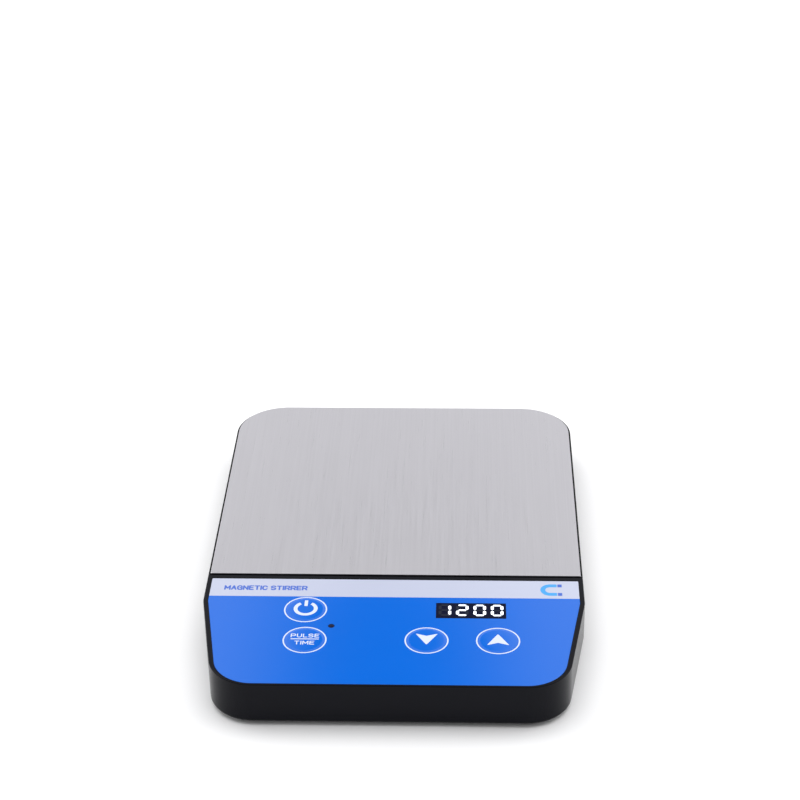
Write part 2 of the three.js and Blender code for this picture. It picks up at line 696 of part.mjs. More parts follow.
/** A steel disc over the ring magnet, with a hub that grips the shaft. */
function rotorYoke() {
  const profile = [
    [YOKE.bore, RING_MAGNET.top],
    [YOKE.radius, RING_MAGNET.top],
    [YOKE.radius, YOKE.top],
    [YOKE.hubRadius, YOKE.top],
    [YOKE.hubRadius, YOKE.hubTop],
    [YOKE.bore, YOKE.hubTop],
    [YOKE.bore, RING_MAGNET.top],
  ];
  return piece("rotor_yoke", turned(profile, ROUND), "screwSteel");
}

/** A plastic disc on the yoke, with two pockets for the drive magnets. */
function magnetCarrier() {
  const disc = cylinder(0, 0, CARRIER.radius, YOKE.top, CARRIER.top, 40);
  const below = YOKE.top - 1;
  const above = CARRIER.top + 1;
  const pocketRadius = DRIVE_MAGNET.radius + DRIVE_MAGNET.gap;
  const cuts = [1, -1].flatMap((side) => [
    cylinder(side * DRIVE_MAGNET.offset, 0, pocketRadius, below, above, ROUND),
    cylinder(0, side * CARRIER.lighteningAt, CARRIER.lightening, below, above),
  ]);
  cuts.push(cylinder(0, 0, CARRIER.hole, below, above));
  return piece("magnet_carrier", carve(disc, { cut: cuts }), "whiteNylon");
}

function driveMagnet(number, side) {
  const edge = 0.3;
  const { radius, top } = DRIVE_MAGNET;
  const profile = [
    [0, YOKE.top],
    [radius, YOKE.top],
    [radius, top - edge],
    [radius - edge, top],
    [0, top],
  ];
  const magnet = piece(`drive_magnet_${number}`, turned(profile, ROUND), "nickel");
  magnet.position.x = side * DRIVE_MAGNET.offset;
  return magnet;
}

// ---------------------------------------------------------------- assembly

function caseGroup() {
  const group = new THREE.Group();
  group.add(upperCase(), lowerCover(), stirringPlate());
  FEET.forEach((place, i) => group.add(rubberFoot(i + 1, place)));
  CASE_SCREWS.forEach((place, i) => group.add(caseScrew(i + 1, place)));
  return group;
}

function panelGroup() {
  const group = new THREE.Group();
  group.add(panelOverlay(), displayWindow(), statusLed());
  KEYS.forEach((entry) => group.add(key(entry), switchPlunger(entry), keySwitch(entry)));
  return group;
}

function boardGroup() {
  const group = new THREE.Group();
  group.add(mainBoard(), displayModule(), controllerChip());
  group.add(connector("motor_connector", MOTOR_CONNECTOR));
  group.add(connector("power_connector", POWER_CONNECTOR));
  BOARD_SCREWS.forEach((place, i) => group.add(boardScrew(i + 1, place)));
  return group;
}

function wiringGroup() {
  const group = new THREE.Group();
  group.add(dcJack(), dcJackPin(), motorRibbon());
  group.add(powerLead("power_lead_positive", 1, "redInsulation"));
  group.add(powerLead("power_lead_negative", -1, "blackInsulation"));
  return group;
}

function motorGroup() {
  const group = new THREE.Group();
  group.add(motorBase(), bearingHousing(), bearingSleeve(), statorBoard());
  for (let index = 0; index < COIL.count; index += 1) {
    group.add(statorCoil(index));
  }
  motorScrewPlaces().forEach((place, i) => group.add(motorScrew(i + 1, place)));
  group.add(motorShaft(), ringMagnet(), rotorYoke(), magnetCarrier());
  group.add(driveMagnet(1, 1), driveMagnet(2, -1));
  group.position.y = DRIVE_Y;
  return group;
}

const stirrer = new THREE.Group();
stirrer.add(caseGroup(), panelGroup(), boardGroup(), wiringGroup(), motorGroup());

export default stirrer;
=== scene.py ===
"""The looks of a flat magnetic stirrer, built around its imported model. Metres, +Z up."""

import math

import bmesh
import bpy
from mathutils import Matrix, Vector


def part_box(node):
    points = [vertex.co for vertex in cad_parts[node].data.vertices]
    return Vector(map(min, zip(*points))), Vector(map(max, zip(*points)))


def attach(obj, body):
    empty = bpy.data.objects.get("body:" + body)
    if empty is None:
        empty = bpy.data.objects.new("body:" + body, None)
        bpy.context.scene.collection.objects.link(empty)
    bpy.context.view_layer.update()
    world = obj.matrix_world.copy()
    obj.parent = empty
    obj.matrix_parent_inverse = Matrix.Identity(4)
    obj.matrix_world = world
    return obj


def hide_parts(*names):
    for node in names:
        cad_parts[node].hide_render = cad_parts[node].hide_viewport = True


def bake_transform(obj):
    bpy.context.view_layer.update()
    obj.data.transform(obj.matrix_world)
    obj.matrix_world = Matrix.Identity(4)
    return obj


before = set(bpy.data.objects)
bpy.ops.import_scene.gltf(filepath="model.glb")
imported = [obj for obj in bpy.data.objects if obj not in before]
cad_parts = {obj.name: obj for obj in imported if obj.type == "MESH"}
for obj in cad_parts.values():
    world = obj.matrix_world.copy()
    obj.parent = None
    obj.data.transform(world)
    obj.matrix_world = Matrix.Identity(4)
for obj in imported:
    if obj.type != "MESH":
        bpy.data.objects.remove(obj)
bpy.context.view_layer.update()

# --- sizes

MM = 0.001

case_low, case_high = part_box("upper_case")
cover_low, cover_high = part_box("lower_cover")
plate_low, plate_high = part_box("stirring_plate")
overlay_low, overlay_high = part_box("panel_overlay")
window_low, window_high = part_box("display_window")
led_low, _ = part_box("status_led")

# The case's outline, seen from above: parallel sides that taper towards the front.
HALF_WIDTH = case_high.x
FRONT_Y = case_low.y
REAR_Y = case_high.y
FRONT_HALF_WIDTH = 50.6 * MM
TAPER_START_Y = -38.6 * MM
REAR_CORNER = 17 * MM
FRONT_CORNER = 13.5 * MM
TAPER_CORNER = 6 * MM
ARC_STEP = math.radians(4)

# Heights and walls of the upper case.
CASE_BOTTOM = case_low.z
CASE_TOP = case_high.z
DECK_BOTTOM = 12.2 * MM
PLATE_SEAT = plate_low.z
PANEL_SEAT = overlay_low.z
WALL = 2 * MM
BOTTOM_FILLET = 1 * MM
PAST = 1 * MM  # how far a cut runs past the face that it opens
TOP_FILLET = 0.3 * MM
RECESS_CHAMFER = 0.08 * MM
BOSS_OVERLAP = 0.4 * MM
CASE_BOSS_RADIUS = 3 * MM
BOARD_BOSS_RADIUS = 2.6 * MM
WALL_HOLE_RADIUS = 3.4 * MM
WALL_HOLE_CHAMFER = 0.3 * MM
DISPLAY_LEDGE = 1.1 * MM
LIGHT_HOLE = 1.1 * MM
CASE_SCREW_HOLE = 1.1 * MM
CASE_SCREW_HOLE_TOP = 8.9 * MM
BOARD_SCREW_HOLE = 0.9 * MM
BOARD_SCREW_HOLE_TOP = 10.1 * MM

PLATE_MARGIN = 0.65 * MM
PLATE_RIM = 0.5 * MM
PLATE_RECESS_FRONT_Y = -25.1 * MM
PLATE_FILLET = 0.2 * MM

PANEL_SIDE_MARGIN = 1.5 * MM
PANEL_FRONT_MARGIN = 0.9 * MM
FIT_GAP = 0.15 * MM
OVERLAY_EDGE = 0.07 * MM
STRIP_FRONT_Y = -36.1 * MM

# Keys: the raised disc in the film and the ring printed around it.
KEY_NAMES = ("power", "mode", "down", "up")
KEY_POCKET_GAP = 0.4 * MM
KEY_POCKET_FLOOR = 13.5 * MM
KEY_STEM_HOLE = 2.3 * MM
SKIN_MARGIN = 0.25 * MM
RING_WIDTH = 0.42 * MM
DOME_HEIGHT = 0.12 * MM
DOME_SLOPE = 0.9 * MM
INK = 0.015 * MM
BURIED = 0.03 * MM
FILM_TOP = overlay_high.z
KEY_FACE = FILM_TOP + DOME_HEIGHT

# Marks on the panel.
TITLE_AT = (-39.1 * MM, -31.7 * MM)
TITLE_WIDTH = 25.4 * MM
TITLE_HEIGHT = 2.4 * MM
TITLE_STROKE = 0.5 * MM
MODE_CAP_HEIGHT = 1.85 * MM
MODE_STROKE = 0.32 * MM
MAGNET_AT = (48.2 * MM, -31.6 * MM)

DIGIT_HEIGHT = 5.8 * MM
DIGIT_WIDTH = 3.75 * MM
DIGIT_PITCH = 5.2 * MM
DIGIT_REAR_SHIFT = 0.25 * MM
FLAT_SEGMENT = 0.72 * MM
UPRIGHT_SEGMENT = 0.88 * MM
SEGMENT_GAP = 0.35 * MM
SPEED = "1200"

# Camera: where it stands and how it is turned.
CAMERA_AT = (20.93 * MM, -531.28 * MM, 359.7 * MM)
CAMERA_PITCH = math.radians(29.21)
CAMERA_YAW = math.radians(-2.119)
CAMERA_ROLL = math.radians(-0.709)
CAMERA_LENS = 89.58
CAMERA_SENSOR = 36

# The room: how bright it is, and the dim spot behind the stirrer that darkens the panel's middle.
ROOM_BRIGHTNESS = 1.0
SHADE_BRIGHTNESS = 0.03
SHADE_TOWARDS = (-0.038, 0.777, 0.629)
SHADE_STRETCH = (1, 0.4, 0.4)
SHADE_SPREAD = (0.036, 0.085)


# --- node materials

ACROSS_MAP = "across"


def start_material(name):
    """A new node material, its node tree and its Principled shader."""
    material = bpy.data.materials.new(name)
    material.use_nodes = True
    tree = material.node_tree
    return material, tree, tree.nodes["Principled BSDF"]


def add_node(tree, kind, **values):
    """A node of a kind, with inputs or properties set by name."""
    node = tree.nodes.new(kind)
    for key, value in values.items():
        label = key.replace("_", " ")
        if label in node.inputs:
            node.inputs[label].default_value = value
        else:
            setattr(node, key, value)
    return node


def feed(node, **sources):
    """Links other nodes' outputs to a node's inputs, each by its name."""
    for key, source in sources.items():
        node.id_data.links.new(source, node.inputs[key.replace("_", " ")])


def set_inputs(node, **values):
    """Sets a node's inputs, each by its name."""
    for key, value in values.items():
        node.inputs[key.replace("_", " ")].default_value = value


def object_coordinates(tree, scale):
    """Object coordinates, scaled along each axis."""
    source = add_node(tree, "ShaderNodeTexCoord")
    mapping = add_node(tree, "ShaderNodeMapping", Scale=scale)
    feed(mapping, Vector=source.outputs["Object"])
    return mapping.outputs["Vector"]


def noise(tree, scale, detail=3.0, roughness=0.55):
    """Noise over object coordinates; scale is in waves per metre along each axis."""
    texture = add_node(tree, "ShaderNodeTexNoise", Scale=1.0, Detail=detail, Roughness=roughness)
    feed(texture, Vector=object_coordinates(tree, scale))
    return texture.outputs["Fac"]


def spread(tree, value, low, high, from_low=0.3, from_high=0.7):
    """A value between low and high that follows a noise."""
    node = add_node(tree, "ShaderNodeMapRange")
    set_inputs(node, From_Min=from_low, From_Max=from_high, To_Min=low, To_Max=high)
    feed(node, Value=value)
    return node.outputs["Result"]


def mix_colours(tree, factor, first, second):
    """A colour between two others."""
    node = add_node(tree, "ShaderNodeMix", data_type="RGBA")
    node.inputs["A"].default_value = (*first, 1)
    node.inputs["B"].default_value = (*second, 1)
    tree.links.new(factor, node.inputs["Factor"])
    return node.outputs["Result"]


def set_bump(tree, shader, height, distance):
    """Relief that follows a height, distance deep in metres."""
    node = add_node(tree, "ShaderNodeBump", Distance=distance, Strength=1.0)
    feed(node, Height=height)
    feed(shader, Normal=node.outputs["Normal"])


def varied(colour, factor):
    return tuple(channel * factor for channel in colour)


def grained(name, colour, roughness, grain, depth, metallic=0.0, specular=0.5, change=0.12,
            **sockets):
    """A surface with fine grain: colour, roughness and relief all vary a little.

    grain is the grain's size in metres, and depth is its relief. sockets are further values
    for the shader, by name.
    """
    material, tree, shader = start_material(name)
    fine = noise(tree, (1 / grain,) * 3)
    broad = noise(tree, (60, 60, 60), detail=2.0)
    colours = mix_colours(tree, broad, varied(colour, 1 - change), varied(colour, 1 + change))
    rough = spread(tree, fine, roughness - 0.05, roughness + 0.05)
    feed(shader, Base_Color=colours, Roughness=rough)
    set_bump(tree, shader, fine, depth)
    set_inputs(shader, Metallic=metallic, Specular_IOR_Level=specular, **sockets)
    return material


def brushed(name, colour, roughness, streak=(5200, 40, 40)):
    """Metal brushed along one axis: long streaks in colour, roughness and relief."""
    material, tree, shader = start_material(name)
    fine = noise(tree, streak, detail=4.0, roughness=0.65)
    coarse = noise(tree, varied(streak, 0.35), detail=3.0)
    cloud = noise(tree, (22, 9, 22), detail=2.0)
    colours = mix_colours(tree, coarse, varied(colour, 0.95), varied(colour, 1.05))
    blend = add_node(tree, "ShaderNodeMix", data_type="RGBA", blend_type="MULTIPLY")
    blend.inputs["Factor"].default_value = 1.0
    tree.links.new(colours, blend.inputs["A"])
    patch = mix_colours(tree, cloud, (0.975, 0.975, 0.98), (1.0, 1.0, 1.0))
    tree.links.new(patch, blend.inputs["B"])
    rough = spread(tree, fine, roughness - 0.07, roughness + 0.07)
    across = add_node(tree, "ShaderNodeTangent", direction_type="UV_MAP", uv_map=ACROSS_MAP)
    feed(shader, Base_Color=blend.outputs["Result"], Roughness=rough,
         Tangent=across.outputs["Tangent"])
    set_bump(tree, shader, fine, 0.002 * MM)
    set_inputs(shader, Metallic=1.0, Anisotropic=0.6)
    return material


def map_across(piece):
    """Lays a map over a piece whose U runs along X, which is across the brushing."""
    layer = piece.data.uv_layers.new(name=ACROSS_MAP)
    for corner in piece.data.loops:
        point = piece.data.vertices[corner.vertex_index].co
        layer.data[corner.index].uv = (point.x, point.y)


def printed_film(name, colour, roughness, specular):
    """Satin polycarbonate film over a printed colour."""
    material, tree, shader = start_material(name)
    velvet = noise(tree, (9000, 9000, 9000), detail=2.0)
    print_depth = noise(tree, (35, 35, 35), detail=2.0)
    colours = mix_colours(tree, print_depth, varied(colour, 0.965), varied(colour, 1.035))
    rough = spread(tree, velvet, roughness - 0.03, roughness + 0.03)
    feed(shader, Base_Color=colours, Roughness=rough)
    set_bump(tree, shader, velvet, 0.0012 * MM)
    set_inputs(shader, Specular_IOR_Level=specular)
    return material


def lit_segment(name, strength):
    """A display segment that glows, a little brighter where its chip sits."""
    material, tree, shader = start_material(name)
    hot = spread(tree, noise(tree, (500, 500, 500)), 0.93 * strength, 1.07 * strength)
    set_inputs(shader, Base_Color=(0.85, 0.9, 1.0, 1), Emission_Color=(0.93, 0.97, 1.0, 1))
    feed(shader, Emission_Strength=hot)
    return material


def board_material(name):
    """Green solder mask over glass cloth: a fine weave and slightly paler tracks."""
    material, tree, shader = start_material(name)
    checks = add_node(tree, "ShaderNodeTexBrick", Scale=1.0, Mortar_Size=0.03)
    set_inputs(checks, Color1=(0.012, 0.115, 0.05, 1), Color2=(0.010, 0.095, 0.04, 1),
               Mortar=(0.02, 0.17, 0.075, 1))
    feed(checks, Vector=object_coordinates(tree, (420, 420, 420)))
    weave = add_node(tree, "ShaderNodeTexWave", Scale=1.0, Distortion=1.5)
    feed(weave, Vector=object_coordinates(tree, (1600, 1600, 1600)))
    set_bump(tree, shader, weave.outputs["Fac"], 0.004 * MM)
    rough = spread(tree, weave.outputs["Fac"], 0.3, 0.42)
    feed(shader, Base_Color=checks.outputs["Color"], Roughness=rough)
    set_inputs(shader, Coat_Weight=0.4)
    return material


def wound_copper(name):
    """Enamelled wire, wound: close ridges across the coil, with painted shade darkening the grooves
    between the wires.
    """
    material, tree, shader = start_material(name)
    wires = add_node(tree, "ShaderNodeTexWave", wave_type="RINGS", rings_direction="Z", Scale=1.0,
                     Distortion=0.4)
    feed(wires, Vector=object_coordinates(tree, (1500, 1500, 1500)))
    # painted shade: the copper turns dark where the winding ridges dip, in the grooves between
    # wires
    copper_with_groove_shade = mix_colours(tree, wires.outputs["Fac"], (0.30, 0.085, 0.022), (0.74, 0.30, 0.11))
    rough = spread(tree, noise(tree, (900, 900, 900)), 0.25, 0.4)
    feed(shader, Base_Color=copper_with_groove_shade, Roughness=rough)
    set_bump(tree, shader, wires.outputs["Fac"], 0.03 * MM)
    set_inputs(shader, Metallic=0.9, Coat_Weight=0.5)
    return material


def make_materials():
    """Every finish of the stirrer, by name."""
    plastic = (0.0035, 0.0038, 0.0068)
    return {
        "case": grained("moulded_case", plastic, 0.22, 0.11 * MM, 0.0015 * MM, specular=0.1),
        "case_under": grained("moulded_cover", (0.011, 0.011, 0.013), 0.5, 0.3 * MM, 0.012 * MM),
        "steel": brushed("brushed_plate", (0.645, 0.635, 0.675), 0.34),
        "blue": printed_film("film_blue", (0.001, 0.12, 0.60), 0.12, 0.5),
        "pale": printed_film("film_pale", (0.47, 0.50, 0.63), 0.12, 0.5),
        "white_ink": printed_film("ink_white", (0.61, 0.66, 0.79), 0.3, 0.35),
        "title_ink": printed_film("ink_title", (0.055, 0.13, 0.52), 0.4, 0.3),
        "symbol_ink": printed_film("ink_symbol", (0.06, 0.33, 0.72), 0.4, 0.3),
        "window": grained("display_pane", (0.0025, 0.004, 0.02), 0.3, 1.5 * MM, 0.0003 * MM,
                          specular=0.05),
        "segment_lit": lit_segment("segment_lit", 0.85),
        "segment_dark": grained("segment_unlit", (0.016, 0.02, 0.033), 0.3, 0.2 * MM, 0.0005 * MM,
                                specular=0.05),
        "lens": grained("smoked_lens", (0.002, 0.004, 0.03), 0.25, 0.8 * MM, 0.0003 * MM,
                        specular=0.15),
        "rubber": grained("foot_rubber", (0.017, 0.017, 0.018), 0.78, 0.12 * MM, 0.012 * MM,
                          specular=0.3),
        "screw": grained("screw_zinc", (0.50, 0.50, 0.53), 0.3, 0.15 * MM, 0.003 * MM,
                         metallic=1.0),
        "board": board_material("circuit_board"),
        "epoxy": grained("moulded_epoxy", (0.012, 0.012, 0.013), 0.55, 0.05 * MM, 0.003 * MM),
        "nylon": grained("natural_nylon", (0.72, 0.70, 0.62), 0.42, 0.2 * MM, 0.003 * MM,
                         change=0.04, Subsurface_Weight=0.15, Subsurface_Scale=0.5 * MM),
        "inlet": grained("inlet_plastic", (0.011, 0.011, 0.012), 0.42, 0.1 * MM, 0.003 * MM),
        "nickel": grained("nickel", (0.66, 0.63, 0.58), 0.2, 0.3 * MM, 0.001 * MM,
                          metallic=1.0, change=0.04),
        "sheet_steel": brushed("pressed_steel", (0.46, 0.46, 0.48), 0.36, (1700, 60, 60)),
        "bronze": grained("sintered_bronze", (0.42, 0.23, 0.09), 0.45, 0.06 * MM, 0.006 * MM,
                          metallic=1.0),
        "copper": wound_copper("wound_copper"),
        "ferrite": grained("pressed_ferrite", (0.035, 0.033, 0.034), 0.62, 0.08 * MM, 0.008 * MM),
        "ribbon": grained("amber_film", (0.48, 0.21, 0.04), 0.24, 0.6 * MM, 0.002 * MM,
                          Coat_Weight=0.5),
        "red": grained("insulation_red", (0.42, 0.014, 0.012), 0.4, 0.3 * MM, 0.003 * MM),
        "black": grained("insulation_black", (0.014, 0.014, 0.015), 0.4, 0.3 * MM, 0.003 * MM),
    }


# --- outlines

def rounded_polygon(corners, inset=0.0, step=ARC_STEP):
    """A convex anticlockwise polygon of (x, y, radius), moved inwards, its corners as arcs."""
    points = []
    for i, (x, y, corner_radius) in enumerate(corners):
        before = corners[i - 1]
        after = corners[(i + 1) % len(corners)]
        heading_in = math.atan2(y - before[1], x - before[0])
        heading_out = math.atan2(after[1] - y, after[0] - x)
        turn = (heading_out - heading_in) % math.tau
        radius = max(corner_radius - inset, 0)
        to_centre = (radius + inset) / math.cos(turn / 2)
        inwards = heading_in + turn / 2 + math.pi / 2
        centre_x = x + to_centre * math.cos(inwards)
        centre_y = y + to_centre * math.sin(inwards)
        steps = math.ceil(turn / step) if corner_radius > 0 else 0
        for n in range(steps + 1):
            angle = heading_in - math.pi / 2 + (turn * n / steps if steps else turn / 2)
            points.append((centre_x + radius * math.cos(angle),
                           centre_y + radius * math.sin(angle)))
    return points


def mirrored(right_half):
    """Corners of the right half, from front to rear, followed by their mirror images."""
    return right_half + [(-x, y, radius) for x, y, radius in reversed(right_half)]


def tapered_half_width(y):
    share = (TAPER_START_Y - y) / (TAPER_START_Y - FRONT_Y)
    return HALF_WIDTH - share * (HALF_WIDTH - FRONT_HALF_WIDTH)


def case_outline(inset):
    return rounded_polygon(mirrored([
        (FRONT_HALF_WIDTH, FRONT_Y, FRONT_CORNER),
        (HALF_WIDTH, TAPER_START_Y, TAPER_CORNER),
        (HALF_WIDTH, REAR_Y, REAR_CORNER),
    ]), inset)


def plate_outline(margin, front_y, extra=0.0):
    """The plate's outline: margin in from the case, a straight front edge, then extra inwards."""
    return rounded_polygon(mirrored([
        (HALF_WIDTH, front_y - margin, 0.4 * MM + margin),
        (HALF_WIDTH, REAR_Y, REAR_CORNER),
    ]), margin + extra)


def panel_outline(extra=0.0):
    """The control film's outline, moved inwards by extra."""
    front = FRONT_Y + PANEL_FRONT_MARGIN - PANEL_SIDE_MARGIN
    rear_corner = 0.3 * MM + PANEL_SIDE_MARGIN
    return rounded_polygon(mirrored([
        (tapered_half_width(front), front, FRONT_CORNER),
        (HALF_WIDTH, TAPER_START_Y, TAPER_CORNER),
        (HALF_WIDTH, overlay_high.y + PANEL_SIDE_MARGIN, rear_corner),
    ]), PANEL_SIDE_MARGIN + extra)


def rectangle(x, y, width, depth, corner=0.0, inset=0.0):
    left, right = x - width / 2, x + width / 2
    front, rear = y - depth / 2, y + depth / 2
    corners = [(right, front, corner), (right, rear, corner), (left, rear, corner),
               (left, front, corner)]
    return rounded_polygon(corners, inset, math.radians(15))


def circle(x, y, radius, count=64):
    turns = [math.tau * n / count for n in range(count)]
    return [(x + radius * math.cos(a), y + radius * math.sin(a)) for a in turns]


def quarter(start, end, steps=5, bulge_first="z"):
    """(inset, height) pairs along a quarter round from start to end."""
    pairs = []
    for n in range(steps + 1):
        angle = math.pi / 2 * n / steps
        along_inset = 1 - math.cos(angle) if bulge_first == "z" else math.sin(angle)
        along_height = math.sin(angle) if bulge_first == "z" else 1 - math.cos(angle)
        inset = start[0] + (end[0] - start[0]) * along_inset
        height = start[1] + (end[1] - start[1]) * along_height
        pairs.append((inset, height))
    return pairs


# --- meshes

def mark_sharp(bm, smooth_angle):
    """Smooth faces, with the edges sharper than smooth_angle degrees kept sharp."""
    sharp = math.radians(smooth_angle)
    for face in bm.faces:
        face.smooth = True
    for edge in bm.edges:
        edge.smooth = len(edge.link_faces) == 2 and edge.calc_face_angle(0) < sharp


def mesh_object(name, bm, material=None, smooth_angle=35):
    """A linked object of a bmesh, smooth except at edges sharper than smooth_angle degrees."""
    bmesh.ops.recalc_face_normals(bm, faces=bm.faces)
    mark_sharp(bm, smooth_angle)
    mesh = bpy.data.meshes.new(name)
    bm.to_mesh(mesh)
    bm.free()
    made = bpy.data.objects.new(name, mesh)
    bpy.context.scene.collection.objects.link(made)
    if material:
        mesh.materials.append(material)
    return made


def loft(rings):
    """A bmesh through rings of points (each a list of x, y, z), closed at both ends."""
    bm = bmesh.new()
    rows = [[bm.verts.new(point) for point in ring] for ring in rings]
    for lower, upper in zip(rows, rows[1:]):
        for i in range(len(lower)):
            bm.faces.new((lower[i - 1], lower[i], upper[i], upper[i - 1]))
    bm.faces.new(reversed(rows[0]))
    bm.faces.new(rows[-1])
    return bm


def levels(outline, pairs):
    """Rings of an outline function at (inset, height) pairs."""
    return [[(x, y, height) for x, y in outline(inset)] for inset, height in pairs]


def prism(points, bottom, top):
    return loft([[(x, y, z) for x, y in points] for z in (bottom, top)])


def post(at, radius, bottom, top, count=64):
    """An upright cylinder on the vertical through a point."""
    return prism(circle(at.x, at.y, radius, count), bottom, top)


def domed(radius, base, rise, steps=6):
    """(radius, height) pairs of a dome, from its rim to its top."""
    angles = [math.pi / 2 * n / steps for n in range(steps)]
    return [(radius * math.cos(a), base + rise * math.sin(a)) for a in angles] + [(0, base + rise)]


def turned(profile, x, y, count=48):
    """A solid of revolution about the vertical through x, y, from (radius, height) pairs.

    A pair with radius 0 becomes a point on the axis; the profile runs from the axis to the axis,
    or else closes on itself as a ring.
    """
    bm = bmesh.new()
    rows = []
    for radius, height in profile:
        if radius == 0:
            rows.append([bm.verts.new((x, y, height))])
        else:
            rows.append([bm.verts.new((px, py, height)) for px, py in circle(x, y, radius, count)])
    pairs = list(zip(rows, rows[1:]))
    if len(rows[0]) > 1:
        pairs.append((rows[-1], rows[0]))
    for lower, upper in pairs:
        for i in range(count):
            corners = (lower[i - 1 if len(lower) > 1 else 0], lower[i if len(lower) > 1 else 0],
                       upper[i if len(upper) > 1 else 0], upper[i - 1 if len(upper) > 1 else 0])
            bm.faces.new(dict.fromkeys(corners))
    return bm


def carve(target, tools, operation="DIFFERENCE", merge_overlaps=False):
    """target with bmeshes cut out of it, or joined to it, one after another."""
    for tool in tools:
        cutter = mesh_object("tool", tool)
        modifier = target.modifiers.new("carve", "BOOLEAN")
        modifier.object = cutter
        modifier.operation = operation
        modifier.solver = "EXACT"
        modifier.use_self = merge_overlaps
        graph = bpy.context.evaluated_depsgraph_get()
        result = bpy.data.meshes.new_from_object(target.evaluated_get(graph))
        target.modifiers.clear()
        old = target.data
        target.data = result
        bpy.data.meshes.remove(old)
        bpy.data.objects.remove(cutter)
    return target


def resharpen(target, smooth_angle=35):
    """Marks the edges of a carved mesh that should look sharp."""
    bm = bmesh.new()
    bm.from_mesh(target.data)
    bmesh.ops.remove_doubles(bm, verts=bm.verts, dist=0.001 * MM)
    bmesh.ops.dissolve_degenerate(bm, edges=bm.edges, dist=0.0005 * MM)
    mark_sharp(bm, smooth_angle)
    bm.to_mesh(target.data)
    bm.free()
    return target


def place(piece, body, slot, *nodes):
    """The piece rides on a body and stands for CAD nodes, which it hides; its slot is not used."""
    flat_faces = piece.modifiers.new("flat_faces", "WEIGHTED_NORMAL")
    flat_faces.keep_sharp = True
    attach(piece, body)
    if nodes:
        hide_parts(*nodes)
    return piece


def middle(node):
    low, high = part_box(node)
    return (low + high) / 2


# --- case

def screw_places(prefix):
    return [middle(f"{prefix}_{n}") for n in range(1, 5)]


def along_inlet(profile, front, count=48):
    """A solid of revolution on the inlet's axis. Its profile's heights run rearwards from front."""
    axis = middle("dc_jack")
    bm = turned(profile, 0, 0, count)
    turn = Matrix.Translation((axis.x, front, axis.z)) @ Matrix.Rotation(-math.pi / 2, 4, "X")
    bmesh.ops.transform(bm, matrix=turn, verts=bm.verts)
    return bm


def inlet_cylinder(radius, front, rear, rear_radius=None):
    """A cylinder, or with a rear radius a cone, on the inlet's axis."""
    length = rear - front
    return along_inlet([(0, 0), (radius, 0), (rear_radius or radius, length), (0, length)], front)


def key_radius(key):
    low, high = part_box(f"{key}_key")
    return (high.x - low.x) / 2


def window_outline(grow):
    """The display pane's outline, larger by grow on each side."""
    centre = middle("display_window")
    width = window_high.x - window_low.x + 2 * grow
    depth = window_high.y - window_low.y + 2 * grow
    return rectangle(centre.x, centre.y, width, depth)


def case_shell(finish):
    """The upper case: rounded walls, deck, bosses, recesses for the plate and the film."""
    sky = CASE_TOP + 3 * MM
    wall_rings = (quarter((BOTTOM_FILLET, CASE_BOTTOM), (0, CASE_BOTTOM + BOTTOM_FILLET), 6,
                          "inset")
                  + quarter((0, CASE_TOP - TOP_FILLET), (TOP_FILLET, CASE_TOP), 4))
    shell = mesh_object("case_shell", loft(levels(case_outline, wall_rings)), finish)
    cavity = prism(case_outline(WALL), CASE_BOTTOM - PAST, DECK_BOTTOM)
    carve(shell, [cavity])
    boss_top = DECK_BOTTOM + BOSS_OVERLAP
    board_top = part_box("main_board")[1].z
    bosses = [post(at, CASE_BOSS_RADIUS, cover_high.z, boss_top, 32)
              for at in screw_places("case_screw")]
    bosses += [post(at, BOARD_BOSS_RADIUS, board_top, boss_top, 32)
               for at in screw_places("board_screw")]
    carve(shell, bosses, "UNION")

    def plate_recess(extra):
        return plate_outline(PLATE_RIM, PLATE_RECESS_FRONT_Y, extra)

    flare = [(0, CASE_TOP - RECESS_CHAMFER), (-RECESS_CHAMFER, CASE_TOP), (-RECESS_CHAMFER, sky)]
    cuts = [loft(levels(plate_recess, [(0, PLATE_SEAT), *flare]))]
    panel_flare = [(-FIT_GAP, CASE_TOP - RECESS_CHAMFER), (-FIT_GAP - RECESS_CHAMFER, CASE_TOP)]
    panel_flare.append((-FIT_GAP - RECESS_CHAMFER, sky))
    cuts.append(loft(levels(panel_outline, [(-FIT_GAP, PANEL_SEAT), *panel_flare])))
    for key in KEY_NAMES:
        at = middle(f"{key}_key")
        cuts.append(post(at, key_radius(key) + KEY_POCKET_GAP, KEY_POCKET_FLOOR, sky))
        cuts.append(post(at, KEY_STEM_HOLE, DECK_BOTTOM - PAST, sky, 32))
    cuts.append(prism(window_outline(FIT_GAP), window_low.z, sky))
    cuts.append(prism(window_outline(-DISPLAY_LEDGE), DECK_BOTTOM - PAST, sky))
    cuts.append(post(middle("status_led"), LIGHT_HOLE, DECK_BOTTOM - PAST, sky, 32))
    for at in screw_places("case_screw"):
        cuts.append(post(at, CASE_SCREW_HOLE, cover_high.z - PAST, CASE_SCREW_HOLE_TOP, 24))
    for at in screw_places("board_screw"):
        cuts.append(post(at, BOARD_SCREW_HOLE, board_top - PAST, BOARD_SCREW_HOLE_TOP, 24))
    cuts.append(inlet_cylinder(WALL_HOLE_RADIUS, REAR_Y - WALL - PAST, REAR_Y + 2 * PAST))
    mouth = WALL_HOLE_RADIUS + WALL_HOLE_CHAMFER
    cuts.append(inlet_cylinder(WALL_HOLE_RADIUS, REAR_Y - WALL_HOLE_CHAMFER, REAR_Y, mouth))
    carve(shell, cuts)
    return place(resharpen(shell), "case", "case_plastic", "upper_case")


